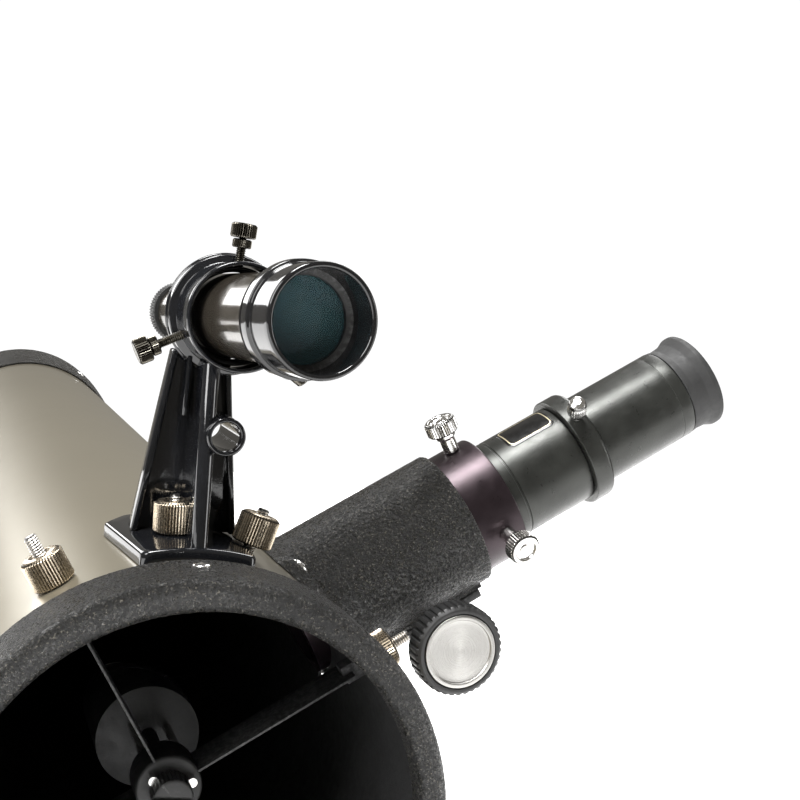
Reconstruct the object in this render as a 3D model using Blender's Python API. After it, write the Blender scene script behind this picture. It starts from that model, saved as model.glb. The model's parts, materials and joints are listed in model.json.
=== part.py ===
"""Newtonian reflector optical tube: 140 mm tube, rack focuser with Barlow lens and eyepiece, finder scope,
primary and secondary mirrors, tube saddles and dovetail bar.

World frame: +Y runs from the open front end to the mirror end, +Z is up, and the origin is the middle of the
dovetail bar's underside. "Station" is the distance behind the front ring's front plane along the tube axis.
"""

import math

import bmesh
import bpy
from mathutils import Matrix, Vector

MM = 0.001
GAP = 0.3 * MM

BIG_SIDES = 48
MEDIUM_SIDES = 28
SMALL_SIDES = 12
TINY_SIDES = 10
SHAFT_SIDES = 16
# Keeps the corners of a small hole off the facet edges of the round wall that it goes through.
HOLE_TURN = math.radians(3)
SMOOTH_ANGLE = math.radians(35)
QUARTER = math.radians(90)
# Turns a shape drawn in (distance, depth) so that it lies along the focuser axis.
ALONG_FOCUSER = (0, -QUARTER, 0)
# Stands a shape drawn in (side, height) upright, drawn in (station, height) edgewise.
UPRIGHT = (QUARTER, 0, 0)
EDGEWISE = (QUARTER, 0, QUARTER)

# Main tube, with the tube axis AXIS_HEIGHT above the dovetail's underside.
TUBE_RADIUS = 70.0 * MM
TUBE_WALL = 1.2 * MM
TUBE_FRONT = 8.5 * MM
TUBE_BACK = 856.0 * MM
AXIS_HEIGHT = 101.6 * MM
BALANCE_STATION = 430.0 * MM
# Distances from the tube axis between which a cutter goes through the tube's wall.
THROUGH_WALL = (60.0 * MM, 80.0 * MM)

FRONT_RING_RADIUS = 73.0 * MM
FRONT_RING_OPENING = 64.2 * MM
FRONT_RING_LENGTH = 25.6 * MM
FRONT_RING_NOSE = 2.0 * MM
FRONT_RING_SHOULDER = 7.0 * MM
REAR_RING_RADIUS = 75.0 * MM
REAR_RING_START = 762.0 * MM
REAR_RING_STEP = 790.0 * MM
REAR_RING_FULL = 830.0 * MM
REAR_RING_END = 870.0 * MM
REAR_RING_LIP = 1.4 * MM
REAR_RING_CORNER = 4.0 * MM
REAR_PLATE = 3.5 * MM
REAR_VENT_RADIUS = 20.0 * MM

# Primary mirror: 114 mm across, 900 mm focal length.
MIRROR_RADIUS = 57.0 * MM
MIRROR_THICKNESS = 12.0 * MM
MIRROR_FOCAL_LENGTH = 900.0 * MM
MIRROR_FRONT = 840.0 * MM
CELL_RADIUS = 60.5 * MM
CELL_BACK = 858.0 * MM
COLLIMATION_CIRCLE = 45.0 * MM
COLLIMATION_SHAFT = 2.2 * MM
COLLIMATION_HOLE = 2.7 * MM
COLLIMATION_HOLE_DEPTH = 4.6 * MM
COLLIMATION_TIP_DEPTH = 2.6 * MM
COLLIMATION_KNOB_RADIUS = 9.0 * MM
COLLIMATION_KNOB_HEIGHT = 10.5 * MM

# Focuser axis: FOCUSER_ANGLE above +X, through the tube axis at FOCUSER_STATION.
FOCUSER_ANGLE = math.radians(35.3)
FOCUSER_STATION = 120.4 * MM
HOUSING_RADIUS = 26.25 * MM
HOUSING_BORE = 24.35 * MM
HOUSING_END = 134.9 * MM
HOUSING_CHAMFER = 1.2 * MM
FLANGE_CORNER = 8.0 * MM
FLANGE_HALF_LENGTH = 33.0 * MM
FLANGE_HALF_WIDTH = 29.0 * MM
FLANGE_OUTER = 74.6 * MM
PAD_HALF_WIDTH = 9.0 * MM
PAD_DEPTH = 26.3 * MM
PAD_INNER = 18.0 * MM
PAD_SETBACK = 4.0 * MM
DRAWTUBE_RADIUS = 24.0 * MM
DRAWTUBE_START = 62.0 * MM
DRAWTUBE_END = 152.3 * MM
BARREL_RADIUS = 15.85 * MM
DRAWTUBE_BORE = 20.5 * MM
BARREL_STEP = 138.0 * MM
BARREL_BORE = 16.15 * MM

# Rack and pinion: module 1 mm, nine-tooth pinion under the drawtube.
MODULE = 1.0 * MM
PINION_TEETH = 9
PITCH_RADIUS = MODULE * PINION_TEETH / 2
PINION_DISTANCE = 106.0 * MM
PINION_DEPTH = 30.0 * MM
PINION_WIDTH = 6.0 * MM
SHAFT_RADIUS = 2.5 * MM
ADDENDUM = 0.8 * MM
DEDENDUM = 1.1 * MM
TOOTH_HALF_WIDTH = 0.5 * MM
RACK_HALF_WIDTH = 3.2 * MM
RACK_FLOOR = 22.7 * MM
RACK_END_LAND = 1.2 * MM
PRESSURE_ANGLE = math.radians(20)
RACK_START = 62.6 * MM
RACK_END = 128.0 * MM
COVER_TOP = 26.6 * MM
COVER_THICKNESS = 3.1 * MM
COVER_SPAN = (84.0 * MM, 129.5 * MM)
COVER_HUMP = 8.0 * MM
KNOB_RADIUS = 16.3 * MM
KNOB_INNER = 26.0 * MM
KNOB_OUTER = 39.5 * MM
KNOB_RIM = 1.2 * MM
KNOB_WEB = 2.6 * MM

BARLOW_RADIUS = 19.5 * MM
BARLOW_START = 152.6 * MM
BARLOW_END = 185.9 * MM
BARLOW_BARREL_START = 115.0 * MM
BARLOW_THROAT = 14.3 * MM
BARLOW_FLOOR = 160.0 * MM
COLLAR_RADIUS = 21.9 * MM
COLLAR_END = 194.4 * MM
COLLAR_SCREW_DISTANCE = 190.4 * MM
COLLAR_SCREW_ANGLE = math.radians(44.0)
DRAWTUBE_SCREW_DISTANCE = 144.5 * MM
DRAWTUBE_SCREW_ANGLES = (math.radians(4.0), math.radians(108.0))
EYEPIECE_BARREL_START = 173.0 * MM
EYEPIECE_SEAT = 9.0 * MM
EYEPIECE_RADIUS = 18.0 * MM
EYEPIECE_GROOVE = 236.1 * MM
EYEPIECE_END = 248.9 * MM
EYECUP_RADIUS = 19.4 * MM

# Finder: its bracket ring's centre, and its axis, which the adjusting screws hold a little off the tube's.
RING_CENTRE_STATION = 53.0 * MM
RING_CENTRE_SIDE = -0.3 * MM
RING_CENTRE_HEIGHT = 141.2 * MM
RING_FRONT = 38.7 * MM
RING_BACK = 62.6 * MM
RING_BORE = 15.0 * MM
RING_FRONT_RADIUS = 16.2 * MM
RING_BACK_RADIUS = 18.7 * MM
FINDER_YAW = math.radians(6.3)
FINDER_PITCH = math.radians(2.3)
FINDER_FRONT = -71.3 * MM
FINDER_SEAM = FINDER_FRONT + 24.5 * MM
FINDER_INNER = 13.4 * MM
FINDER_TUBE_RADIUS = 12.6 * MM
FINDER_TUBE_BORE = 11.4 * MM
FINDER_TUBE_END = 12.0 * MM
FINDER_TAIL_RADIUS = 8.6 * MM
FINDER_TAIL_START = 26.0 * MM
FINDER_TAIL_END = 52.0 * MM
FINDER_EYE_END = 61.0 * MM
DEW_SHIELD_RADIUS = 15.0 * MM
DEW_COLLAR_RADIUS = 15.9 * MM
FOCUS_RING_RADIUS = 10.2 * MM
FOCUS_RING_END = 57.5 * MM
SEAT_RING_BORE = 13.55 * MM
SEAT_RING_RADIUS = 14.7 * MM
SEAT_RING_STATIONS = (48.0 * MM, 50.2 * MM)
FINDER_SCREW_STATION = 55.0 * MM
FINDER_SCREW_ANGLES = (0.0, math.radians(-120.0), math.radians(120.0))
FINDER_SCREW_HEADS = (25.5 * MM, 28.2 * MM, 28.2 * MM)
FINDER_SCREW_TIP = 13.5 * MM
FINDER_SCREW_RADIUS = 1.5 * MM

# Finder bracket's foot, turned BRACKET_ANGLE from the top of the tube.
BRACKET_ANGLE = math.radians(2.6)
BRACKET_PLATE_INNER = 70.4 * MM
BRACKET_PLATE_OUTER = 74.3 * MM
BRACKET_FOOT_STATIONS = (33.0 * MM, 83.0 * MM, 89.0 * MM)
BRACKET_FOOT_HALF_WIDTHS = (16.6 * MM, 21.4 * MM, 15.0 * MM)
BRACKET_NUT_STATION = 56.0 * MM
BRACKET_NUT_ANGLES = (math.radians(-5.7), math.radians(12.9))
WEB_STATION = 68.0 * MM
WEB_THICKNESS = 3.0 * MM
WEB_FOOT_HALF_WIDTH = 16.0 * MM
WEB_TOP_HALF_WIDTH = 8.6 * MM
RIB_STATION = 36.0 * MM
RIB_HALF_THICKNESS = 1.5 * MM
STRUT_RADIUS = 2.4 * MM
BOSS_HEIGHT = 106.4 * MM
BOSS_RADIUS = 5.7 * MM
BOSS_HOLE = 4.3 * MM

# Thumb nuts on studs, for the bracket and the four spider vanes.
NUT_RADIUS = 6.35 * MM
NUT_HEIGHT = 9.8 * MM
NUT_BORE = 2.5 * MM
STUD_RADIUS = 2.0 * MM
STUD_HOLE = 2.4 * MM
STUD_END = 86.0 * MM
SPIDER_STATION = 49.0 * MM
SPIDER_COUNT = 4
SPIDER_HALF_DEPTH = 7.0 * MM
VANE_LUG = 3.0 * MM
HUB_RADIUS = 10.0 * MM
VANE_THICKNESS = 0.8 * MM

SECONDARY_RADIUS = 17.0 * MM
SECONDARY_THICKNESS = 5.0 * MM
HOLDER_FRONT = 86.0 * MM
HOLDER_REACH = 150.0 * MM
STALK_HEAD_FRONT = 34.0 * MM
STALK_HEAD_RADIUS = 6.0 * MM
STALK_RADIUS = 3.0 * MM
STALK_BORE = 3.35 * MM

# Saddles under the tube and the dovetail bar that they stand on.
SADDLE_STATIONS = {"front": 345.0 * MM, "rear": 515.0 * MM}
SADDLE_HALF_WIDTH = 10.0 * MM
SADDLE_INNER = 70.5 * MM
SADDLE_OUTER = 75.0 * MM
SADDLE_HALF_ANGLE = 38
SADDLE_ARC_STEPS = 12
SADDLE_FOOT_HALF_WIDTH = 15.0 * MM
SADDLE_FOOT = 86.3 * MM
DOVETAIL_LENGTH = 220.0 * MM
DOVETAIL_BOTTOM_HALF = 22.0 * MM
DOVETAIL_TOP_HALF = 17.5 * MM
DOVETAIL_HEIGHT = 15.0 * MM

MATERIALS = {
    "tube_paint": ((0.36, 0.33, 0.27), 0.5, 0.2),
    "wrinkle_paint": ((0.035, 0.034, 0.032), 0.1, 0.55),
    "black_gloss": ((0.012, 0.012, 0.014), 0.0, 0.12),
    "plum_anodised": ((0.05, 0.035, 0.045), 0.8, 0.35),
    "black_anodised": ((0.02, 0.022, 0.022), 0.6, 0.38),
    "bronze_gloss": ((0.10, 0.085, 0.065), 0.6, 0.15),
    "nickel": ((0.55, 0.5, 0.43), 1.0, 0.25),
    "bright_steel": ((0.7, 0.7, 0.7), 1.0, 0.18),
    "black_rubber": ((0.02, 0.02, 0.02), 0.0, 0.6),
    "black_matte": ((0.015, 0.015, 0.015), 0.0, 0.7),
    "mirror_coating": ((0.9, 0.92, 0.94), 1.0, 0.03),
    "lens_glass": ((0.1, 0.25, 0.27), 0.0, 0.03),
    "cast_grey": ((0.05, 0.05, 0.05), 0.3, 0.45),
}


def clear_scene():
    for thing in list(bpy.data.objects):
        bpy.data.objects.remove(thing, do_unlink=True)


def make_material(name):
    colour, metallic, roughness = MATERIALS[name]
    material = bpy.data.materials.get(name) or bpy.data.materials.new(name)
    material.use_nodes = True
    shader = material.node_tree.nodes["Principled BSDF"]
    shader.inputs["Base Color"].default_value = (*colour, 1.0)
    shader.inputs["Metallic"].default_value = metallic
    shader.inputs["Roughness"].default_value = roughness
    return material


def make_frame(name, location, x_axis, z_axis):
    """An empty at location whose local X and Z lie along the given world directions."""
    across = Vector(x_axis).normalized()
    along = Vector(z_axis).normalized()
    turn = Matrix((across, along.cross(across), along)).transposed().to_4x4()
    empty = bpy.data.objects.new(name, None)
    bpy.context.scene.collection.objects.link(empty)
    empty.matrix_world = Matrix.Translation(location) @ turn
    return empty


def add_object(name, mesh_data, material, frame, location=(0, 0, 0), rotation=(0, 0, 0)):
    body = bpy.data.objects.new(name, mesh_data)
    bpy.context.scene.collection.objects.link(body)
    body.parent = frame
    body.location = location
    body.rotation_euler = rotation
    mesh_data.materials.append(make_material(material))
    return body


def finish_mesh(name, shape, smooth):
    bmesh.ops.recalc_face_normals(shape, faces=shape.faces)
    mesh_data = bpy.data.meshes.new(name)
    shape.to_mesh(mesh_data)
    shape.free()
    if smooth:
        mesh_data.shade_smooth()
        mesh_data.set_sharp_from_angle(angle=SMOOTH_ANGLE)
    return mesh_data


def turned_mesh(name, outline, sides):
    """The outline's (radius, height) points, as a closed loop, turned about local Z."""
    shape = bmesh.new()
    rings = []
    for radius, height in outline:
        if radius == 0:
            rings.append([shape.verts.new((0, 0, height))])
            continue
        angles = [2 * math.pi * step / sides for step in range(sides)]
        places = [(radius * math.cos(a), radius * math.sin(a), height) for a in angles]
        rings.append([shape.verts.new(place) for place in places])
    for lower, upper in zip(rings, rings[1:] + rings[:1]):
        if len(lower) == len(upper) == 1:
            continue
        for step in range(sides):
            after = (step + 1) % sides
            corners = [
                lower[step % len(lower)],
                lower[after % len(lower)],
                upper[after % len(upper)],
                upper[step % len(upper)],
            ]
            shape.faces.new(list(dict.fromkeys(corners)))
    return finish_mesh(name, shape, smooth=True)


def prism_mesh(name, outline, low, high):
    """The outline's (x, y) points extruded along local Z from low to high."""
    shape = bmesh.new()
    bottom = [shape.verts.new((x, y, low)) for x, y in outline]
    top = [shape.verts.new((x, y, high)) for x, y in outline]
    shape.faces.new(bottom)
    shape.faces.new(top)
    for index in range(len(outline)):
        after = (index + 1) % len(outline)
        shape.faces.new((bottom[index], bottom[after], top[after], top[index]))
    return finish_mesh(name, shape, smooth=False)


def box_mesh(name, low, high):
    outline = [(low[0], low[1]), (high[0], low[1]), (high[0], high[1]), (low[0], high[1])]
    return prism_mesh(name, outline, low[2], high[2])


def arc(centre, radius, start, end, steps):
    """Points on a quarter or other stretch of a circle in the outline's plane, angles in degrees."""
    angles = [math.radians(start + (end - start) * step / steps) for step in range(steps + 1)]
    return [(centre[0] + radius * math.cos(a), centre[1] + radius * math.sin(a)) for a in angles]


def rod_outline(radius, low, high):
    return [(0, low), (radius, low), (radius, high), (0, high)]


def chamfered_rod_outline(radius, low, high, chamfer):
    return [
        (0, low),
        (radius - chamfer, low),
        (radius, low + chamfer),
        (radius, high - chamfer),
        (radius - chamfer, high),
        (0, high),
    ]


def pipe_outline(inner, outer, low, high):
    return [(inner, low), (outer, low), (outer, high), (inner, high)]


def combine(target, tool, operation):
    """Adds a Boolean of target with a helper object that stays out of the model."""
    tool.hide_render = True
    tool.display_type = "WIRE"
    modifier = target.modifiers.new(tool.name, "BOOLEAN")
    modifier.operation = operation
    modifier.solver = "EXACT"
    modifier.object = tool


def cut(target, tool):
    combine(target, tool, "DIFFERENCE")


def join(target, tool):
    combine(target, tool, "UNION")


def helper_rod(
    name, radius, low, high, frame, sides=SMALL_SIDES, location=(0, 0, 0), rotation=(0, 0, HOLE_TURN)
):
    mesh_data = turned_mesh(name, rod_outline(radius, low, high), sides)
    return add_object(name, mesh_data, "black_matte", frame, location, rotation)


def helper_box(name, low, high, frame, location=(0, 0, 0), rotation=(0, 0, 0)):
    return add_object(name, box_mesh(name, low, high), "black_matte", frame, location, rotation)


def tube_point(side, station, height):
    """World place of a point given from the tube axis and the front plane."""
    return Vector((side, station - BALANCE_STATION, height + AXIS_HEIGHT))


def outward(angle):
    """World direction away from the tube axis, angle measured from the top towards +X."""
    return Vector((math.sin(angle), 0, math.cos(angle)))


def radial_frame(name, angle, station):
    """A frame on the tube axis whose local Z points outward at the angle and local X to the front."""
    return make_frame(name, tube_point(0, station, 0), (0, -1, 0), outward(angle))


def thumb_nut(name, frame, seat):
    edge = 0.4 * MM
    chamfer = 1.2 * MM
    outline = [
        (NUT_BORE, seat),
        (NUT_RADIUS - edge, seat),
        (NUT_RADIUS, seat + edge),
        (NUT_RADIUS, seat + NUT_HEIGHT - chamfer),
        (NUT_RADIUS - chamfer, seat + NUT_HEIGHT),
        (NUT_BORE, seat + NUT_HEIGHT),
    ]
    return add_object(name, turned_mesh(name, outline, SMALL_SIDES), "nickel", frame)


def thumb_screw(name, frame, shaft, tip, neck, neck_end, head, head_end, material="bright_steel"):
    """A turned screw along local Z: threaded shaft, thicker neck and knurled head."""
    chamfer = 0.5 * MM
    outline = [
        (0, tip),
        (shaft, tip),
        (shaft, neck_end[0]),
        (neck, neck_end[0]),
        (neck, neck_end[1]),
        (head - chamfer, neck_end[1]),
        (head, neck_end[1] + chamfer),
        (head, head_end - chamfer),
        (head - chamfer, head_end),
        (0, head_end),
    ]
    return add_object(name, turned_mesh(name, outline, SMALL_SIDES), material, frame)


def build_tube(tube_axis, focuser_axis):
    outline = pipe_outline(TUBE_RADIUS - TUBE_WALL, TUBE_RADIUS, TUBE_FRONT, TUBE_BACK)
    tube = add_object("main_tube", turned_mesh("main_tube", outline, BIG_SIDES), "tube_paint", tube_axis)
    room = 0.4 * MM
    cut(tube, helper_rod("tube_opening", HOUSING_BORE + room, *THROUGH_WALL, focuser_axis, MEDIUM_SIDES))
    half_slot = RACK_HALF_WIDTH + 2 * GAP
    rack_room = PINION_DEPTH - PITCH_RADIUS + ADDENDUM + 3 * GAP
    low = (-half_slot, DRAWTUBE_RADIUS / 2, THROUGH_WALL[0])
    high = (half_slot, rack_room, THROUGH_WALL[1])
    cut(tube, helper_box("tube_rack_slot", low, high, focuser_axis))
    return tube


def build_front_ring(tube_axis):
    nose = FRONT_RING_NOSE
    shoulder = FRONT_RING_SHOULDER
    outline = arc((FRONT_RING_OPENING + nose, nose), nose, 180, 270, 2)
    outline += arc((FRONT_RING_RADIUS - shoulder, shoulder), shoulder, 290, 360, 3)
    outline += [
        (FRONT_RING_RADIUS, FRONT_RING_LENGTH),
        (TUBE_RADIUS + GAP, FRONT_RING_LENGTH),
        (TUBE_RADIUS + GAP, TUBE_FRONT - GAP),
        (FRONT_RING_OPENING, TUBE_FRONT - GAP),
    ]
    add_object("front_ring", turned_mesh("front_ring", outline, BIG_SIDES), "wrinkle_paint", tube_axis)


def build_rear_ring(tube_axis):
    corner = REAR_RING_CORNER
    outline = [
        (TUBE_RADIUS + 2 * GAP, REAR_RING_START),
        (TUBE_RADIUS + REAR_RING_LIP, REAR_RING_START),
        (REAR_RING_RADIUS - REAR_RING_LIP, REAR_RING_STEP),
        (REAR_RING_RADIUS, REAR_RING_FULL),
    ]
    outline += arc((REAR_RING_RADIUS - corner, REAR_RING_END - corner), corner, 0, 90, 3)
    outline += [
        (REAR_VENT_RADIUS, REAR_RING_END),
        (REAR_VENT_RADIUS, REAR_RING_END - REAR_PLATE),
        (TUBE_RADIUS + 2 * GAP, REAR_RING_END - REAR_PLATE),
    ]
    return add_object("rear_ring", turned_mesh("rear_ring", outline, BIG_SIDES), "wrinkle_paint", tube_axis)


def build_primary_mirror(tube_axis):
    """The mirror and its cup, which the collimation screws hold off the rear plate."""
    depth = MIRROR_RADIUS**2 / (4 * MIRROR_FOCAL_LENGTH)
    bevel = 0.6 * MM
    shares = (0, 0.35, 0.7, 0.985)
    face = [(MIRROR_RADIUS * share, MIRROR_FRONT + depth * (1 - share**2)) for share in shares]
    outline = face + [
        (MIRROR_RADIUS, MIRROR_FRONT + bevel),
        (MIRROR_RADIUS, MIRROR_FRONT + MIRROR_THICKNESS),
        (0, MIRROR_FRONT + MIRROR_THICKNESS),
    ]
    mirror_mesh = turned_mesh("primary_mirror", outline, MEDIUM_SIDES)
    add_object("primary_mirror", mirror_mesh, "mirror_coating", tube_axis)
    floor = MIRROR_FRONT + MIRROR_THICKNESS + GAP
    rim = MIRROR_FRONT - 0.5 * MM
    outline = [
        (0, floor),
        (MIRROR_RADIUS + GAP, floor),
        (MIRROR_RADIUS + GAP, rim),
        (CELL_RADIUS, rim),
        (CELL_RADIUS, CELL_BACK),
        (0, CELL_BACK),
    ]
    cell_mesh = turned_mesh("mirror_cell", outline, MEDIUM_SIDES)
    return add_object("mirror_cell", cell_mesh, "cast_grey", tube_axis)


def build_collimation(tube_axis, rear_ring, mirror_cell):
    for index in range(3):
        angle = math.radians(90 + 120 * index)
        place = (COLLIMATION_CIRCLE * math.cos(angle), COLLIMATION_CIRCLE * math.sin(angle), 0)
        number = index + 1
        for body, floor in ((mirror_cell, CELL_BACK - COLLIMATION_HOLE_DEPTH), (rear_ring, CELL_BACK + GAP)):
            name = f"{body.name}_hole_{number}"
            ceiling = REAR_RING_END + COLLIMATION_HOLE_DEPTH
            cut(body, helper_rod(name, COLLIMATION_HOLE, floor, ceiling, tube_axis, TINY_SIDES, place))
        tip = CELL_BACK - COLLIMATION_TIP_DEPTH
        back = REAR_RING_END + GAP
        top = back + COLLIMATION_KNOB_HEIGHT
        edge = 1.0 * MM
        crown = 1.5 * MM
        outline = [
            (0, tip),
            (COLLIMATION_SHAFT, tip),
            (COLLIMATION_SHAFT, back),
            (COLLIMATION_KNOB_RADIUS - edge, back),
            (COLLIMATION_KNOB_RADIUS, back + edge),
            (COLLIMATION_KNOB_RADIUS, top - crown),
            (COLLIMATION_KNOB_RADIUS - crown, top),
            (0, top),
        ]
        name = f"collimation_screw_{number}"
        add_object(name, turned_mesh(name, outline, SMALL_SIDES), "black_matte", tube_axis, place)


def build_spider(tube_axis, main_tube):
    hub = [
        (STALK_BORE, SPIDER_STATION - SPIDER_HALF_DEPTH),
        (HUB_RADIUS, SPIDER_STATION - SPIDER_HALF_DEPTH),
        (HUB_RADIUS, SPIDER_STATION + SPIDER_HALF_DEPTH),
        (STALK_BORE, SPIDER_STATION + SPIDER_HALF_DEPTH),
    ]
    add_object("spider_hub", turned_mesh("spider_hub", hub, SMALL_SIDES), "black_matte", tube_axis)
    first = QUARTER - FOCUSER_ANGLE
    end = TUBE_RADIUS - TUBE_WALL - GAP
    lug_floor = end - 7 * MM
    for index in range(SPIDER_COUNT):
        number = index + 1
        frame = radial_frame(f"spider_axis_{number}", first + index * QUARTER, SPIDER_STATION)
        low = (-SPIDER_HALF_DEPTH, -VANE_THICKNESS / 2, HUB_RADIUS + GAP)
        high = (SPIDER_HALF_DEPTH, VANE_THICKNESS / 2, end - VANE_LUG)
        name = f"spider_vane_{number}"
        vane = add_object(name, box_mesh(name, low, high), "black_matte", frame)
        low = (-VANE_LUG, -VANE_LUG, lug_floor)
        high = (VANE_LUG, VANE_LUG, end)
        join(vane, helper_box(f"vane_lug_{number}", low, high, frame))
        stud_start = end - VANE_LUG
        join(vane, helper_rod(f"vane_stud_{number}", STUD_RADIUS, stud_start, STUD_END, frame, TINY_SIDES))
        cut(main_tube, helper_rod(f"spider_hole_{number}", STUD_HOLE, *THROUGH_WALL, frame, TINY_SIDES))
        thumb_nut(f"spider_nut_{number}", frame, TUBE_RADIUS + GAP)


def build_secondary(tube_axis, focuser_axis):
    """The 45-degree flat and the holder that the centre bolt carries from the spider's hub."""
    seat = SPIDER_STATION - SPIDER_HALF_DEPTH - GAP
    bolt = [
        (0, STALK_HEAD_FRONT),
        (STALK_HEAD_RADIUS, STALK_HEAD_FRONT),
        (STALK_HEAD_RADIUS, seat),
        (STALK_RADIUS, seat),
        (STALK_RADIUS, HOLDER_FRONT - GAP),
        (0, HOLDER_FRONT - GAP),
    ]
    add_object("secondary_bolt", turned_mesh("secondary_bolt", bolt, SMALL_SIDES), "black_matte", tube_axis)
    along = focuser_axis.matrix_world.to_3x3() @ Vector((0, 0, 1))
    normal = (along + Vector((0, 1, 0))).normalized()
    sideways = along.cross(normal)
    reach = TUBE_RADIUS
    flat = make_frame("secondary_flat_axis", tube_point(0, FOCUSER_STATION, 0), sideways, normal)
    outline = rod_outline(SECONDARY_RADIUS, HOLDER_FRONT, HOLDER_REACH)
    mirror_mesh = turned_mesh("secondary_mirror", outline, MEDIUM_SIDES)
    mirror = add_object("secondary_mirror", mirror_mesh, "mirror_coating", tube_axis)
    slab_low = (-reach, -reach, -SECONDARY_THICKNESS)
    combine(mirror, helper_box("flat_slab", slab_low, (reach, reach, 0), flat), "INTERSECT")
    holder_mesh = turned_mesh("secondary_holder", outline, MEDIUM_SIDES)
    holder = add_object("secondary_holder", holder_mesh, "black_matte", tube_axis)
    low = (-reach, -reach, -SECONDARY_THICKNESS - GAP)
    cut(holder, helper_box("holder_slope", low, (reach, reach, 2 * reach), flat))


def build_focuser_housing(tube_axis, focuser_axis):
    low, high = THROUGH_WALL
    outline = chamfered_rod_outline(HOUSING_RADIUS, low, HOUSING_END, HOUSING_CHAMFER)
    housing_mesh = turned_mesh("focuser_housing", outline, MEDIUM_SIDES)
    housing = add_object("focuser_housing", housing_mesh, "wrinkle_paint", focuser_axis)
    corner = FLANGE_CORNER
    length = FLANGE_HALF_LENGTH - corner
    width = FLANGE_HALF_WIDTH - corner
    flange = []
    corners = ((length, width, 0), (-length, width, 90), (-length, -width, 180), (length, -width, 270))
    for x, y, start in corners:
        flange += arc((x, y), corner, start, start + 90, 3)
    plate = add_object("flange", prism_mesh("flange", flange, low, high), "wrinkle_paint", focuser_axis)
    before = FOCUSER_STATION - 2 * HOUSING_RADIUS
    behind = FOCUSER_STATION + 2 * HOUSING_RADIUS
    band_mesh = turned_mesh("flange_band", pipe_outline(low, FLANGE_OUTER, before, behind), BIG_SIDES)
    combine(plate, add_object("flange_band", band_mesh, "wrinkle_paint", tube_axis), "INTERSECT")
    join(housing, plate)
    pad_low = (-PAD_HALF_WIDTH, PAD_INNER, low)
    pad_high = (PAD_HALF_WIDTH, PAD_DEPTH, HOUSING_END - PAD_SETBACK)
    join(housing, helper_box("pinion_pad", pad_low, pad_high, focuser_axis))
    clearance = TUBE_RADIUS + GAP
    cut(housing, helper_rod("tube_clearance", clearance, before, behind, tube_axis, BIG_SIDES))
    inside = low - PAD_DEPTH
    beyond = HOUSING_END + PAD_DEPTH
    cut(housing, helper_rod("housing_bore", HOUSING_BORE, inside, beyond, focuser_axis, MEDIUM_SIDES))
    slot = RACK_HALF_WIDTH + 0.5 * MM
    slot_low = (-slot, PAD_INNER, inside)
    slot_high = (slot, PINION_DEPTH, beyond)
    cut(housing, helper_box("rack_slot", slot_low, slot_high, focuser_axis))


def build_drawtube(focuser_axis):
    chamfer = 0.5 * MM
    outline = [
        (DRAWTUBE_BORE, DRAWTUBE_START),
        (DRAWTUBE_RADIUS, DRAWTUBE_START),
        (DRAWTUBE_RADIUS, DRAWTUBE_END - chamfer),
        (DRAWTUBE_RADIUS - chamfer, DRAWTUBE_END),
        (BARREL_BORE, DRAWTUBE_END),
        (BARREL_BORE, BARREL_STEP),
        (DRAWTUBE_BORE, BARREL_STEP),
    ]
    drawtube_mesh = turned_mesh("drawtube", outline, BIG_SIDES)
    drawtube = add_object("drawtube", drawtube_mesh, "plum_anodised", focuser_axis)
    slot = RACK_HALF_WIDTH + GAP
    low = (-slot, RACK_FLOOR - GAP, DRAWTUBE_START - GAP)
    high = (slot, PINION_DEPTH, RACK_END + GAP)
    cut(drawtube, helper_box("rack_groove", low, high, focuser_axis))
    for name, angle in zip(("upper", "lower"), DRAWTUBE_SCREW_ANGLES):
        frame_name = f"drawtube_screw_axis_{name}"
        frame = focuser_radial_frame(frame_name, focuser_axis, angle, DRAWTUBE_SCREW_DISTANCE)
        shaft = 2.0 * MM
        low = BARREL_RADIUS - 3 * MM
        high = DRAWTUBE_RADIUS + 3 * MM
        cut(drawtube, helper_rod(f"screw_hole_{name}", shaft + GAP, low, high, frame, TINY_SIDES))
        thumb_screw(
            f"drawtube_screw_{name}",
            frame,
            shaft=shaft,
            tip=BARREL_BORE + 1.5 * GAP,
            neck=3.0 * MM,
            neck_end=(DRAWTUBE_RADIUS + GAP, 32.0 * MM),
            head=6.0 * MM,
            head_end=37.5 * MM,
        )


def focuser_radial_frame(name, focuser_axis, angle, distance):
    """A frame on the focuser axis whose Z points outward, angle measured from its upper side to the front."""
    turn = focuser_axis.matrix_world.to_3x3()
    along = turn @ Vector((0, 0, 1))
    outward_direction = turn @ Vector((math.sin(angle), -math.cos(angle), 0))
    centre = focuser_axis.matrix_world @ Vector((0, 0, distance))
    return make_frame(name, centre, along, outward_direction)


def build_rack(focuser_axis):
    """A toothed bar under the drawtube, with a gap between teeth where the pinion's lowest tooth stands."""
    pitch_line = PINION_DEPTH - PITCH_RADIUS
    root = pitch_line - DEDENDUM
    crest = pitch_line + ADDENDUM
    flank = math.tan(PRESSURE_ANGLE)
    pitch = math.pi * MODULE
    outline = [(RACK_START, RACK_FLOOR), (RACK_START, root)]
    first = math.ceil((RACK_START + RACK_END_LAND - PINION_DISTANCE) / pitch - 0.5)
    place = PINION_DISTANCE + (first + 0.5) * pitch
    foot = TOOTH_HALF_WIDTH + DEDENDUM * flank
    top = TOOTH_HALF_WIDTH - ADDENDUM * flank
    while place < RACK_END - RACK_END_LAND:
        outline += [(place - foot, root), (place - top, crest), (place + top, crest), (place + foot, root)]
        place += pitch
    outline += [(RACK_END, root), (RACK_END, RACK_FLOOR)]
    rack_mesh = prism_mesh("focus_rack", outline, -RACK_HALF_WIDTH, RACK_HALF_WIDTH)
    add_object("focus_rack", rack_mesh, "nickel", focuser_axis, rotation=ALONG_FOCUSER)


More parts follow.
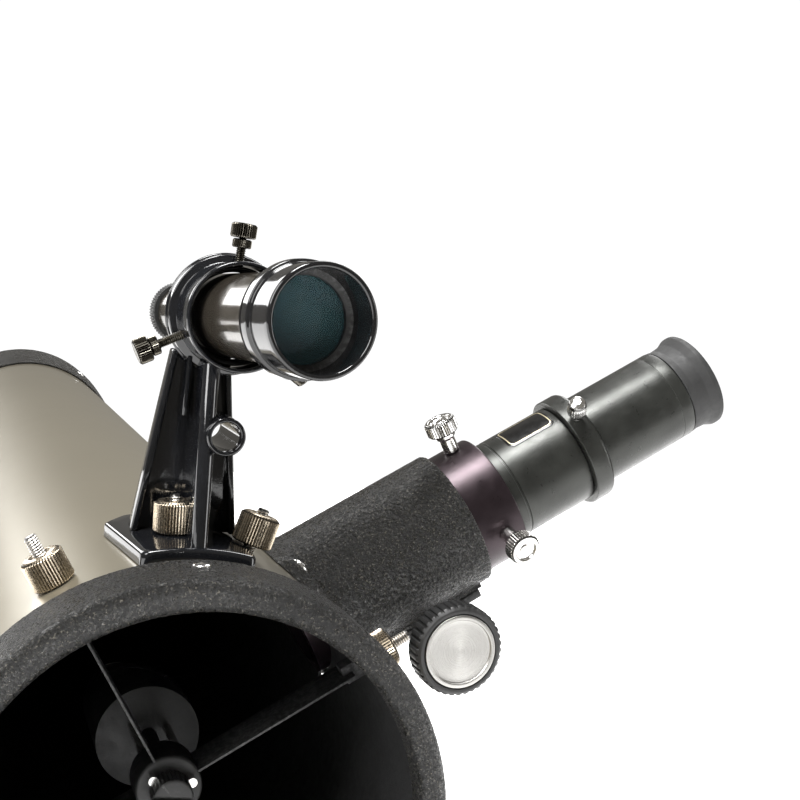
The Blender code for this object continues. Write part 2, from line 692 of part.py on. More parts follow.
def gear_outline():
    """Nine straight-flanked teeth about the origin, with one tooth pointing along -y."""
    root = PITCH_RADIUS - DEDENDUM
    crest = PITCH_RADIUS + ADDENDUM
    flank = math.tan(PRESSURE_ANGLE)
    points = []
    for tooth in range(PINION_TEETH):
        middle = -QUARTER + 2 * math.pi * tooth / PINION_TEETH
        for radius, half in (
            (root, TOOTH_HALF_WIDTH + DEDENDUM * flank),
            (crest, TOOTH_HALF_WIDTH - ADDENDUM * flank),
            (crest, -TOOTH_HALF_WIDTH + ADDENDUM * flank),
            (root, -TOOTH_HALF_WIDTH - DEDENDUM * flank),
        ):
            angle = middle - half / radius
            points.append((radius * math.cos(angle), radius * math.sin(angle)))
    return points


def build_pinion(focuser_axis):
    """Pinion and shaft in one piece, with its cover under the housing and a knob on each end."""
    place = (0, PINION_DEPTH, PINION_DISTANCE)
    gear = prism_mesh("pinion_shaft", gear_outline(), -PINION_WIDTH / 2, PINION_WIDTH / 2)
    pinion = add_object("pinion_shaft", gear, "nickel", focuser_axis, place, ALONG_FOCUSER)
    reach = KNOB_OUTER - KNOB_WEB - GAP
    spot = (place, ALONG_FOCUSER)
    join(pinion, helper_rod("shaft_rod", SHAFT_RADIUS, -reach, reach, focuser_axis, SHAFT_SIDES, *spot))
    build_pinion_cover(focuser_axis, spot)
    build_focus_knobs(focuser_axis, place)


def build_pinion_cover(focuser_axis, spot):
    low = (-PAD_HALF_WIDTH, COVER_TOP, COVER_SPAN[0])
    high = (PAD_HALF_WIDTH, COVER_TOP + COVER_THICKNESS, COVER_SPAN[1])
    cover_mesh = box_mesh("pinion_cover", low, high)
    cover = add_object("pinion_cover", cover_mesh, "black_matte", focuser_axis)
    hump = COVER_HUMP
    low = (-PAD_HALF_WIDTH, COVER_TOP, PINION_DISTANCE - hump)
    high = (PAD_HALF_WIDTH, PINION_DEPTH, PINION_DISTANCE + hump)
    join(cover, helper_box("hump_block", low, high, focuser_axis))
    width = PAD_HALF_WIDTH
    join(cover, helper_rod("hump_round", hump, -width, width, focuser_axis, SMALL_SIDES, *spot))
    low = (-2 * width, 0, PINION_DISTANCE - 2 * hump)
    high = (2 * width, COVER_TOP, PINION_DISTANCE + 2 * hump)
    cut(cover, helper_box("cover_seat", low, high, focuser_axis))
    room = PITCH_RADIUS + ADDENDUM + 0.5 * MM
    width = PINION_WIDTH / 2 + 0.5 * MM
    cut(cover, helper_rod("pinion_room", room, -width, width, focuser_axis, SMALL_SIDES, *spot))
    low = (-width, COVER_TOP - COVER_THICKNESS, PINION_DISTANCE - room)
    high = (width, PINION_DEPTH, PINION_DISTANCE + room)
    cut(cover, helper_box("pinion_mouth", low, high, focuser_axis))
    width = 2 * PAD_HALF_WIDTH
    bore = SHAFT_RADIUS + 0.25 * MM
    cut(cover, helper_rod("shaft_hole", bore, -width, width, focuser_axis, SHAFT_SIDES, *spot))


def build_focus_knobs(focuser_axis, place):
    rim = KNOB_RIM
    inner = SHAFT_RADIUS + GAP
    for name, turn in (("front", QUARTER), ("rear", -QUARTER)):
        outline = [
            (inner, KNOB_INNER),
            (KNOB_RADIUS - rim, KNOB_INNER),
            (KNOB_RADIUS, KNOB_INNER + rim),
            (KNOB_RADIUS, KNOB_OUTER - rim),
            (KNOB_RADIUS - rim, KNOB_OUTER),
            (0, KNOB_OUTER),
            (0, KNOB_OUTER - KNOB_WEB),
            (inner, KNOB_OUTER - KNOB_WEB),
        ]
        knob_mesh = turned_mesh(f"focus_knob_{name}", outline, MEDIUM_SIDES)
        add_object(f"focus_knob_{name}", knob_mesh, "black_rubber", focuser_axis, place, (0, turn, 0))


def build_barlow(focuser_axis):
    outline = [
        (BARLOW_THROAT, BARLOW_BARREL_START),
        (BARREL_RADIUS, BARLOW_BARREL_START),
        (BARREL_RADIUS, BARLOW_START),
        (BARLOW_RADIUS, BARLOW_START),
        (BARLOW_RADIUS, BARLOW_END),
        (BARREL_BORE, BARLOW_END),
        (BARREL_BORE, BARLOW_FLOOR),
        (BARLOW_THROAT, BARLOW_FLOOR),
    ]
    barlow_mesh = turned_mesh("barlow_body", outline, MEDIUM_SIDES)
    add_object("barlow_body", barlow_mesh, "black_anodised", focuser_axis)
    outline = pipe_outline(BARREL_BORE, COLLAR_RADIUS, BARLOW_END + GAP, COLLAR_END)
    collar_mesh = turned_mesh("barlow_collar", outline, MEDIUM_SIDES)
    collar = add_object("barlow_collar", collar_mesh, "black_anodised", focuser_axis)
    frame = focuser_radial_frame("collar_screw_axis", focuser_axis, COLLAR_SCREW_ANGLE, COLLAR_SCREW_DISTANCE)
    shaft = 1.5 * MM
    low = BARREL_RADIUS - 3 * MM
    high = COLLAR_RADIUS + 3 * MM
    cut(collar, helper_rod("collar_screw_hole", shaft + GAP, low, high, frame, TINY_SIDES))
    thumb_screw(
        "barlow_screw",
        frame,
        shaft=shaft,
        tip=BARREL_BORE + 1.5 * GAP,
        neck=2.2 * MM,
        neck_end=(COLLAR_RADIUS + GAP, COLLAR_RADIUS + 2.0 * MM),
        head=3.6 * MM,
        head_end=COLLAR_RADIUS + 10.5 * MM,
    )
    front = BARLOW_BARREL_START + 2.5 * MM
    edge = BARLOW_THROAT - 0.4 * MM
    sag = 1.0 * MM
    thickness = 2.5 * MM
    lens = [(0, front), (edge, front + sag), (edge, front + sag + thickness), (0, front + thickness)]
    add_object("barlow_lens", turned_mesh("barlow_lens", lens, SMALL_SIDES), "lens_glass", focuser_axis)


def build_eyepiece(focuser_axis):
    start = COLLAR_END + GAP
    wall = 1.85 * MM
    outline = pipe_outline(BARREL_RADIUS - wall, BARREL_RADIUS, EYEPIECE_BARREL_START, start - GAP)
    barrel_mesh = turned_mesh("eyepiece_barrel", outline, MEDIUM_SIDES)
    add_object("eyepiece_barrel", barrel_mesh, "nickel", focuser_axis)
    seat = EYEPIECE_SEAT
    outline = [
        (seat, start),
        (EYEPIECE_RADIUS, start),
        (EYEPIECE_RADIUS, EYEPIECE_GROOVE - GAP),
        (seat, EYEPIECE_GROOVE - GAP),
    ]
    body_mesh = turned_mesh("eyepiece_body", outline, MEDIUM_SIDES)
    add_object("eyepiece_body", body_mesh, "black_anodised", focuser_axis)
    lip = 1.0 * MM
    flare = EYEPIECE_END - 6 * MM
    outline = [
        (seat, EYEPIECE_GROOVE),
        (EYEPIECE_RADIUS, EYEPIECE_GROOVE),
        (EYEPIECE_RADIUS, flare),
        (EYECUP_RADIUS, EYEPIECE_END - lip),
    ]
    outline += arc((EYECUP_RADIUS - lip, EYEPIECE_END - lip), lip, 45, 135, 2)
    outline += [(EYEPIECE_RADIUS - 3.5 * MM, flare), (seat, flare - lip)]
    add_object("eyecup", turned_mesh("eyecup", outline, MEDIUM_SIDES), "black_rubber", focuser_axis)
    low = EYEPIECE_GROOVE - 2 * MM
    edge = low + 5 * MM
    lens = [(0, low), (seat - GAP, low), (seat - GAP, edge), (0, edge + lip)]
    add_object("eye_lens", turned_mesh("eye_lens", lens, SMALL_SIDES), "lens_glass", focuser_axis)


def build_finder(finder_axis):
    """Turned pieces about the finder's axis, whose zero is the bracket ring's centre and +Z the eye end."""
    rim = FINDER_FRONT
    lip = 1.0 * MM
    collar = rim + 13.6 * MM
    outline = arc((DEW_SHIELD_RADIUS - lip, rim + lip), lip, 180, 360, 4)
    outline += [
        (DEW_SHIELD_RADIUS, collar - 0.6 * MM),
        (DEW_COLLAR_RADIUS, collar),
        (DEW_COLLAR_RADIUS, collar + 6.8 * MM),
        (FINDER_TUBE_RADIUS + 0.6 * MM, FINDER_SEAM),
        (FINDER_INNER, FINDER_SEAM),
    ]
    shield_mesh = turned_mesh("dew_shield", outline, MEDIUM_SIDES)
    add_object("dew_shield", shield_mesh, "black_gloss", finder_axis)
    vertex = rim + 13.4 * MM
    edge = FINDER_INNER - GAP
    lens = [
        (0, vertex),
        (8 * MM, vertex + 0.5 * MM),
        (edge, vertex + 1.6 * MM),
        (edge, vertex + 4.6 * MM),
        (0, vertex + 5 * MM),
    ]
    lens_mesh = turned_mesh("finder_objective", lens, MEDIUM_SIDES)
    add_object("finder_objective", lens_mesh, "lens_glass", finder_axis)
    spigot = FINDER_SEAM - 5 * MM
    tail = FINDER_TAIL_RADIUS
    wall = FINDER_TUBE_RADIUS - FINDER_TUBE_BORE
    outline = [
        (FINDER_TUBE_BORE, spigot),
        (FINDER_TUBE_RADIUS - 0.1 * MM, spigot),
        (FINDER_TUBE_RADIUS, FINDER_SEAM + GAP),
        (FINDER_TUBE_RADIUS, FINDER_TUBE_END),
        (tail, FINDER_TAIL_START),
        (tail, FINDER_TAIL_END),
        (tail - wall, FINDER_TAIL_END),
        (tail - wall, FINDER_TAIL_START - 0.5 * MM),
        (FINDER_TUBE_BORE, FINDER_TUBE_END),
    ]
    tube_mesh = turned_mesh("finder_tube", outline, MEDIUM_SIDES)
    add_object("finder_tube", tube_mesh, "bronze_gloss", finder_axis)


def build_finder_eyepiece(finder_axis):
    """The knurled focus ring that turns on the finder's tail, and its lens."""
    start = FINDER_TAIL_END + GAP
    bore = FINDER_TAIL_RADIUS - 2.6 * MM
    outline = [
        (bore, start),
        (FOCUS_RING_RADIUS, start),
        (FOCUS_RING_RADIUS, FOCUS_RING_END),
        (FINDER_TAIL_RADIUS, FOCUS_RING_END + 0.5 * MM),
        (FINDER_TAIL_RADIUS, FINDER_EYE_END),
        (bore, FINDER_EYE_END),
    ]
    ring_mesh = turned_mesh("finder_focus_ring", outline, MEDIUM_SIDES)
    add_object("finder_focus_ring", ring_mesh, "black_matte", finder_axis)
    front = FINDER_TAIL_END + 2 * MM
    edge = front + 3 * MM
    lens = [(0, front), (bore - GAP, front), (bore - GAP, edge), (0, edge + MM)]
    lens_mesh = turned_mesh("finder_eye_lens", lens, SMALL_SIDES)
    add_object("finder_eye_lens", lens_mesh, "lens_glass", finder_axis)


def build_finder_seat(ring_axis):
    """The rubber ring between the bracket's ring and the finder, which lets the finder tip a little."""
    outline = pipe_outline(SEAT_RING_BORE, SEAT_RING_RADIUS, *SEAT_RING_STATIONS)
    seat_mesh = turned_mesh("finder_o_ring", outline, MEDIUM_SIDES)
    add_object("finder_o_ring", seat_mesh, "black_rubber", ring_axis)


def build_finder_screws(bracket):
    for index, angle in enumerate(FINDER_SCREW_ANGLES):
        number = index + 1
        centre = tube_point(RING_CENTRE_SIDE, FINDER_SCREW_STATION, RING_CENTRE_HEIGHT)
        frame = make_frame(f"finder_screw_axis_{number}", centre, (0, -1, 0), outward(angle))
        radius = FINDER_SCREW_RADIUS + GAP
        name = f"finder_screw_hole_{number}"
        low = RING_BORE - 5 * MM
        high = RING_BACK_RADIUS + 5 * MM
        cut(bracket, helper_rod(name, radius, low, high, frame, TINY_SIDES))
        middle = FINDER_SCREW_HEADS[index]
        thumb_screw(
            f"finder_screw_{number}",
            frame,
            shaft=FINDER_SCREW_RADIUS,
            tip=FINDER_SCREW_TIP,
            neck=FINDER_SCREW_RADIUS,
            neck_end=(middle - 2.6 * MM, middle - 2.0 * MM),
            head=3.9 * MM,
            head_end=middle + 2.2 * MM,
            material="nickel",
        )


def bracket_foot(tube_axis, foot_frame):
    """A curved plate that tapers to the front, as the part of a pipe inside a flat outline."""
    front, middle, back = BRACKET_FOOT_STATIONS
    wide = BRACKET_FOOT_HALF_WIDTHS
    right = [(wide[0], front), (wide[1], middle), (wide[2], back)]
    outline = right + [(-x, y) for x, y in reversed(right)]
    low, high = THROUGH_WALL
    foot = add_object("foot", prism_mesh("foot", outline, low, high), "black_gloss", foot_frame)
    band = pipe_outline(low, BRACKET_PLATE_OUTER, front - 5 * MM, back + 5 * MM)
    band_mesh = turned_mesh("foot_band", band, BIG_SIDES)
    combine(foot, add_object("foot_band", band_mesh, "black_gloss", tube_axis), "INTERSECT")
    return foot


def bracket_upright(foot_frame, ring_floor):
    """The web, the rib in front of it and the leaning strut along the rib's edge."""
    low = TUBE_RADIUS
    wide = WEB_FOOT_HALF_WIDTH
    narrow = WEB_TOP_HALF_WIDTH
    top = ring_floor + 4 * MM
    web = [(-wide, low), (wide, low), (narrow, top), (-narrow, top)]
    web_mesh = prism_mesh("web", web, -WEB_STATION, WEB_THICKNESS - WEB_STATION)
    yield add_object("web", web_mesh, "black_gloss", foot_frame, rotation=UPRIGHT)
    low = TUBE_RADIUS + 2 * MM
    top = ring_floor + 1 * MM
    back = WEB_STATION - 1 * MM
    lean = 10 * MM
    rib = [(RIB_STATION, low), (back, low), (back, top), (RIB_STATION + lean, top)]
    rib_mesh = prism_mesh("rib", rib, -RIB_HALF_THICKNESS, RIB_HALF_THICKNESS)
    yield add_object("rib", rib_mesh, "black_gloss", foot_frame, rotation=EDGEWISE)
    angle = math.atan2(lean, ring_floor - low)
    length = math.hypot(lean, top - low)
    place = (0, RIB_STATION, low - 0.5 * MM)
    yield helper_rod("strut", STRUT_RADIUS, 0, length, foot_frame, TINY_SIDES, place, (-angle, 0, 0))


def build_bracket(tube_axis, ring_frame):
    """Saddle foot, web, rib and boss under a ring for the finder, moulded as one piece."""
    turn = Matrix.Rotation(BRACKET_ANGLE, 3, "Y")
    across = turn @ Vector((1, 0, 0))
    foot_frame = make_frame("bracket_axis", tube_point(0, 0, 0), across, turn @ Vector((0, 0, 1)))
    inside = RING_BORE - 2 * MM
    outline = [
        (inside, RING_FRONT),
        (RING_FRONT_RADIUS, RING_FRONT),
        (RING_FRONT_RADIUS, RING_FRONT + 3.5 * MM),
        (RING_FRONT_RADIUS - 0.5 * MM, RING_FRONT + 4.5 * MM),
        (RING_FRONT_RADIUS + 0.3 * MM, RING_BACK - 5.5 * MM),
        (RING_BACK_RADIUS, RING_BACK - 3.5 * MM),
        (RING_BACK_RADIUS, RING_BACK),
        (inside, RING_BACK),
    ]
    bracket_mesh = turned_mesh("finder_bracket", outline, MEDIUM_SIDES)
    bracket = add_object("finder_bracket", bracket_mesh, "black_gloss", ring_frame)

    ring_floor = RING_CENTRE_HEIGHT - RING_FRONT_RADIUS
    for piece in bracket_upright(foot_frame, ring_floor):
        join(bracket, piece)
    boss_place = (0.4 * MM, RING_CENTRE_HEIGHT - BOSS_HEIGHT, 0)
    start = RING_FRONT - 0.7 * MM
    end = WEB_STATION + 1 * MM
    join(bracket, helper_rod("boss", BOSS_RADIUS, start, end, ring_frame, location=boss_place))
    join(bracket, bracket_foot(tube_axis, foot_frame))
    room = 10 * MM
    start = BRACKET_FOOT_STATIONS[0] - room
    end = BRACKET_FOOT_STATIONS[2] + room
    cut(bracket, helper_rod("foot_clearance", BRACKET_PLATE_INNER, start, end, tube_axis, BIG_SIDES))
    start = RING_FRONT - room
    end = WEB_STATION + room
    cut(bracket, helper_rod("ring_bore", RING_BORE, start, end, ring_frame, MEDIUM_SIDES))
    cut(bracket, helper_rod("boss_hole", BOSS_HOLE, start, end, ring_frame, location=boss_place))
    return bracket


def build_bracket_nuts(bracket, main_tube):
    for index, angle in enumerate(BRACKET_NUT_ANGLES):
        number = index + 1
        frame = radial_frame(f"bracket_stud_axis_{number}", angle, BRACKET_NUT_STATION)
        for body in (bracket, main_tube):
            name = f"{body.name}_stud_hole_{number}"
            cut(body, helper_rod(name, STUD_HOLE, *THROUGH_WALL, frame, TINY_SIDES))
        inside = TUBE_RADIUS - TUBE_WALL - GAP
        head = inside - 2 * MM
        head_radius = 4 * MM
        outline = [
            (0, head),
            (head_radius, head),
            (head_radius, inside),
            (STUD_RADIUS, inside),
            (STUD_RADIUS, STUD_END),
            (0, STUD_END),
        ]
        name = f"bracket_stud_{number}"
        add_object(name, turned_mesh(name, outline, TINY_SIDES), "bright_steel", frame)
        thumb_nut(f"bracket_nut_{number}", frame, BRACKET_PLATE_OUTER + GAP)


def build_saddle(name, station):
    """A curved block that beds against the tube's underside and stands on the dovetail bar."""
    frame = make_frame(f"saddle_{name}", tube_point(0, station, 0), (1, 0, 0), (0, 0, 1))
    first, last = 270 - SADDLE_HALF_ANGLE, 270 + SADDLE_HALF_ANGLE
    outline = arc((0, 0), SADDLE_OUTER, first, last, SADDLE_ARC_STEPS)
    outline += arc((0, 0), SADDLE_INNER, last, first, SADDLE_ARC_STEPS)
    width = SADDLE_HALF_WIDTH
    band_mesh = prism_mesh(f"tube_saddle_{name}", outline, -width, width)
    band = add_object(f"tube_saddle_{name}", band_mesh, "cast_grey", frame, rotation=UPRIGHT)
    foot = SADDLE_FOOT_HALF_WIDTH
    low = (-foot, -width, -SADDLE_FOOT)
    high = (foot, width, 2 * MM - SADDLE_OUTER)
    join(band, helper_box(f"saddle_foot_{name}", low, high, frame))


def build_dovetail():
    frame = make_frame("dovetail_axis", (0, 0, 0), (1, 0, 0), (0, -1, 0))
    outline = [
        (-DOVETAIL_BOTTOM_HALF, 0),
        (DOVETAIL_BOTTOM_HALF, 0),
        (DOVETAIL_TOP_HALF, DOVETAIL_HEIGHT),
        (-DOVETAIL_TOP_HALF, DOVETAIL_HEIGHT),
    ]
    bar_mesh = prism_mesh("dovetail_bar", outline, -DOVETAIL_LENGTH / 2, DOVETAIL_LENGTH / 2)
    add_object("dovetail_bar", bar_mesh, "cast_grey", frame)


def build_telescope():
    tube_axis = make_frame("tube_axis", tube_point(0, 0, 0), (1, 0, 0), (0, 1, 0))
    along = Vector((math.cos(FOCUSER_ANGLE), 0, math.sin(FOCUSER_ANGLE)))
    focuser_axis = make_frame("focuser_axis", tube_point(0, FOCUSER_STATION, 0), (0, -1, 0), along)
    ring_place = tube_point(RING_CENTRE_SIDE, 0, RING_CENTRE_HEIGHT)
    ring_axis = make_frame("ring_axis", ring_place, (1, 0, 0), (0, 1, 0))
    centre = tube_point(RING_CENTRE_SIDE, RING_CENTRE_STATION, RING_CENTRE_HEIGHT)
    eye_end = Vector((-math.sin(FINDER_YAW), math.cos(FINDER_YAW), -math.tan(FINDER_PITCH)))
    finder_axis = make_frame("finder_axis", centre, eye_end.cross(Vector((0, 0, 1))), eye_end)
    bpy.context.view_layer.update()

    main_tube = build_tube(tube_axis, focuser_axis)
    build_front_ring(tube_axis)
    rear_ring = build_rear_ring(tube_axis)
    mirror_cell = build_primary_mirror(tube_axis)
    build_collimation(tube_axis, rear_ring, mirror_cell)
    build_spider(tube_axis, main_tube)
    build_secondary(tube_axis, focuser_axis)
    build_focuser_housing(tube_axis, focuser_axis)
    build_drawtube(focuser_axis)
    build_rack(focuser_axis)
    build_pinion(focuser_axis)
    build_barlow(focuser_axis)
    build_eyepiece(focuser_axis)
    build_finder(finder_axis)
    build_finder_eyepiece(finder_axis)
    build_finder_seat(ring_axis)
    bracket = build_bracket(tube_axis, ring_axis)
    build_finder_screws(bracket)
    build_bracket_nuts(bracket, main_tube)
    for name, station in SADDLE_STATIONS.items():
        build_saddle(name, station)
    build_dovetail()


clear_scene()
build_telescope()
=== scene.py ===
"""Looks of a Newtonian reflector telescope: finely turned, knurled, threaded and moulded pieces, with
procedural finishes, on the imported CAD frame. A piece's lengths are in millimetres, and new_piece and prism
turn them into metres. World places, lamps and the camera are in metres.
"""

import json
import math

import bmesh
import bpy
import numpy as np
from mathutils import Matrix, Vector, noise


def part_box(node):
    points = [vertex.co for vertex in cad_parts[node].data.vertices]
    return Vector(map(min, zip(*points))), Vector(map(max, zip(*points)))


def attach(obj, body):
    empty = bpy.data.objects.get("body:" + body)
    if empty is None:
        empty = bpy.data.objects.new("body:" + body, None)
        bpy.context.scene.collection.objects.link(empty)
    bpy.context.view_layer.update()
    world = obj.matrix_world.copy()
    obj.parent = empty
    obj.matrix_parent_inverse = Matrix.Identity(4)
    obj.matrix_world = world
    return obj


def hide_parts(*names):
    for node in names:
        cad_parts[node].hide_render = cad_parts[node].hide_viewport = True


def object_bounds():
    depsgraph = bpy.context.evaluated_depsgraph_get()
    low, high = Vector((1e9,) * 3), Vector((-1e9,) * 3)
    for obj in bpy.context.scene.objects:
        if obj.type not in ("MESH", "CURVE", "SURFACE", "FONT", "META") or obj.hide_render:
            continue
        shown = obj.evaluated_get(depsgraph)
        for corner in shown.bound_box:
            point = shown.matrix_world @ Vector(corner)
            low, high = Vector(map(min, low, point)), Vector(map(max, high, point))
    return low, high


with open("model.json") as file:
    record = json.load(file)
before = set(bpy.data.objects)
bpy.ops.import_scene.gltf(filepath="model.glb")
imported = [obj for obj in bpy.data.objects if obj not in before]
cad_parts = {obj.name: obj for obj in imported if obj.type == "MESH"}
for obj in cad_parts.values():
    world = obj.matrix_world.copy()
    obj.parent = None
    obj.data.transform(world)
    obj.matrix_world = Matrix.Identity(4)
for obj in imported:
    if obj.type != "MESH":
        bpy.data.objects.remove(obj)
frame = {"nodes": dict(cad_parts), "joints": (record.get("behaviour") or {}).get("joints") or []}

CAD_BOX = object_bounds()
MM = 0.001
QUARTER = math.radians(90)
JOINTS = {joint["name"]: joint for joint in frame["joints"]}

ROOT = "tube_assembly"


# ---------------------------------------------------------------- frames and places


def axis_frame(origin, along, reference):
    """A matrix at origin with local Z along one direction and local X as near the other as it can be."""
    z = Vector(along).normalized()
    x = Vector(reference)
    x = (x - z * x.dot(z)).normalized()
    turn = Matrix((x, z.cross(x), z)).transposed().to_4x4()
    return Matrix.Translation(origin) @ turn


def joint_frame(name, reference=(0, -1, 0)):
    """A frame on a hinge's axis."""
    joint = JOINTS[name]
    return axis_frame(joint["pos_m"], joint["axis"], reference)


def shifted(matrix, x=0.0, y=0.0, z=0.0):
    return matrix @ Matrix.Translation((x * MM, y * MM, z * MM))


def place_at(matrix, x, y, z):
    """The world place of a local point in millimetres."""
    return matrix @ Vector((x * MM, y * MM, z * MM))


def turned(matrix, angle, axis="Z"):
    return matrix @ Matrix.Rotation(angle, 4, axis)


RING_LOW, RING_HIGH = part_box("front_ring")
TUBE_SIDE = (RING_LOW.x + RING_HIGH.x) / 2
TUBE_HEIGHT = (RING_LOW.z + RING_HIGH.z) / 2
FRONT_PLANE = RING_LOW.y
FOCUS_AXIS = Vector(JOINTS["focus_travel"]["axis"])
EYEPIECE_LOW, EYEPIECE_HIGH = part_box("eyepiece_body")
FOCUSER_Y = (EYEPIECE_LOW.y + EYEPIECE_HIGH.y) / 2
FOCUSER_STATION = (FOCUSER_Y - FRONT_PLANE) / MM

# Tube frame: Z runs back from the front plane, so a local height is a station. Y points down.
TUBE = axis_frame((TUBE_SIDE, FRONT_PLANE, TUBE_HEIGHT), (0, 1, 0), (1, 0, 0))
# Focuser frame: Z runs outward from the tube axis, X to the front and Y to the underside.
FOCUSER = axis_frame((TUBE_SIDE, FOCUSER_Y, TUBE_HEIGHT), FOCUS_AXIS, (0, -1, 0))
RING = axis_frame(JOINTS["finder_swing"]["pos_m"], (0, 1, 0), (1, 0, 0))
FINDER = axis_frame(JOINTS["finder_swing"]["pos_m"], JOINTS["finder_focus_turn"]["axis"], (1, 0, 0))
RING_STATION = (JOINTS["finder_swing"]["pos_m"][1] - FRONT_PLANE) / MM
PINION = JOINTS["focus_knob_turn"]["pos_m"]


def radial_frame(angle, station):
    """On the tube axis, Z outward at the angle from the top towards +X, X to the front."""
    return axis_frame(place_at(TUBE, 0, 0, station), (math.sin(angle), 0, math.cos(angle)), (0, -1, 0))


# ---------------------------------------------------------------- node materials


def add_node(tree, kind, inputs=None, **settings):
    node = tree.nodes.new(kind)
    for key, value in settings.items():
        setattr(node, key, value)
    for key, value in (inputs or {}).items():
        if isinstance(value, bpy.types.NodeSocket):
            tree.links.new(value, node.inputs[key])
        else:
            node.inputs[key].default_value = value
    return node


def coordinates(tree, stretch=(1, 1, 1)):
    """Object coordinates in millimetres, times stretch."""
    source = add_node(tree, "ShaderNodeTexCoord").outputs["Object"]
    factors = tuple(value / MM for value in stretch)
    scaled = add_node(tree, "ShaderNodeVectorMath", {0: source, 1: factors}, operation="MULTIPLY")
    return scaled.outputs["Vector"]


def noise_value(tree, vector, scale, detail=3.0, roughness=0.55, distortion=0.0):
    inputs = {
        "Vector": vector,
        "Scale": scale,
        "Detail": detail,
        "Roughness": roughness,
        "Distortion": distortion,
    }
    return add_node(tree, "ShaderNodeTexNoise", inputs).outputs["Fac"]


def map_range(tree, value, low, high, to_low, to_high):
    inputs = {"Value": value, "From Min": low, "From Max": high, "To Min": to_low, "To Max": to_high}
    return add_node(tree, "ShaderNodeMapRange", inputs, interpolation_type="SMOOTHSTEP").outputs["Result"]


def math_node(tree, operation, a, b):
    return add_node(tree, "ShaderNodeMath", {0: a, 1: b}, operation=operation).outputs["Value"]


def mix_colours(tree, factor, a, b):
    inputs = {"Factor": factor, "A": (*a, 1) if isinstance(a, tuple) else a}
    inputs["B"] = (*b, 1) if isinstance(b, tuple) else b
    node = tree.nodes.new("ShaderNodeMix")
    node.data_type = "RGBA"
    sockets = {"Factor": node.inputs[0], "A": node.inputs[6], "B": node.inputs[7]}
    for key, value in inputs.items():
        if isinstance(value, bpy.types.NodeSocket):
            tree.links.new(value, sockets[key])
        else:
            sockets[key].default_value = value
    return node.outputs[2]


def bump(tree, height, distance, strength=1.0, normal=None):
    inputs = {"Height": height, "Distance": distance, "Strength": strength}
    if normal:
        inputs["Normal"] = normal
    return add_node(tree, "ShaderNodeBump", inputs).outputs["Normal"]


def feed(shader, label, socket):
    """Links an output to the shader's named input."""
    shader.id_data.links.new(socket, shader.inputs[label])


def scaled_colour(colour, factor):
    return tuple(min(channel * factor, 1.0) for channel in colour)


def start_material(name, **sockets):
    material = bpy.data.materials.new(name)
    material.use_nodes = True
    tree = material.node_tree
    shader = tree.nodes["Principled BSDF"]
    for key, value in sockets.items():
        label = key.replace("_", " ").title().replace("Ior", "IOR")
        shader.inputs[label].default_value = value
    return material, tree, shader


def finish(name, colour, roughness, variation, spread, patch, grain=None, wear=None, **sockets):
    """A shader with patchy colour and roughness, a bump of fine grain, and paler worn edges.

    patch is the patches' scale per millimetre; grain is (scale, depth in mm, stretch); wear a colour.
    """
    material, tree, shader = start_material(name, **sockets)
    place = coordinates(tree)
    patches = noise_value(tree, place, patch, 5.0, 0.6)
    dark = scaled_colour(colour, 1 - variation)
    light = scaled_colour(colour, 1 + variation)
    shade = mix_colours(tree, map_range(tree, patches, 0.3, 0.7, 0, 1), dark, light)
    if wear:
        pointiness = add_node(tree, "ShaderNodeNewGeometry").outputs["Pointiness"]
        sharp = map_range(tree, pointiness, 0.53, 0.6, 0, 1)
        scuffs = map_range(tree, noise_value(tree, place, 0.7, 6.0, 0.7), 0.42, 0.62, 0, 0.6)
        edge = math_node(tree, "MULTIPLY", sharp, scuffs)
        shade = mix_colours(tree, edge, shade, wear)
    feed(shader, "Base Color", shade)
    smudges = noise_value(tree, place, patch * 4, 6.0, 0.65, 0.4)
    rough = map_range(tree, smudges, 0.25, 0.75, max(roughness - spread, 0.01), roughness + spread)
    feed(shader, "Roughness", rough)
    if grain:
        scale, depth, stretch = grain
        fine = noise_value(tree, coordinates(tree, stretch), scale, 4.0, 0.6)
        feed(shader, "Normal", bump(tree, fine, depth * MM))
    return material


# Grain stretched along a turned piece's local Z gives the marks of the lathe.
LATHE = (0.02, 0.02, 1.0)
EVEN = (1.0, 1.0, 1.0)


def wrinkle_paint():
    """Coarse black wrinkle finish: small shiny lumps between dull creases, with painted shade in the creases
    and painted glints on the lumps.
    """
    material, tree, shader = start_material("wrinkle_paint", specular_ior_level=0.45)
    place = coordinates(tree)
    lumps = add_node(
        tree,
        "ShaderNodeTexVoronoi",
        {"Vector": place, "Scale": 0.8, "Smoothness": 0.2, "Randomness": 1.0},
        feature="SMOOTH_F1",
    ).outputs["Distance"]
    folds = noise_value(tree, place, 1.1, 5.0, 0.65, 1.2)
    crumbs = noise_value(tree, place, 2.3, 3.0, 0.6)
    height = math_node(tree, "SUBTRACT", folds, math_node(tree, "MULTIPLY", lumps, 0.55))
    height = math_node(tree, "ADD", height, math_node(tree, "MULTIPLY", crumbs, 0.22))
    crest = map_range(tree, height, 0.12, 0.52, 0, 1)
    # Painted shade: the base colour darkens from the crests down into the creases.
    shade = mix_colours(tree, crest, (0.002, 0.002, 0.0018), (0.016, 0.0152, 0.013))
    # Painted glints: pale specks on the crests lighten the base colour.
    glint = map_range(tree, noise_value(tree, place, 1.6, 2.0, 0.5), 0.56, 0.66, 0, 1)
    glint = math_node(tree, "MULTIPLY", glint, crest)
    shade = mix_colours(tree, glint, shade, (0.2, 0.185, 0.155))
    feed(shader, "Base Color", shade)
    feed(shader, "Roughness", map_range(tree, crest, 0, 1, 0.6, 0.14))
    feed(shader, "Normal", bump(tree, height, 5.0 * MM, 1.0))
    return material


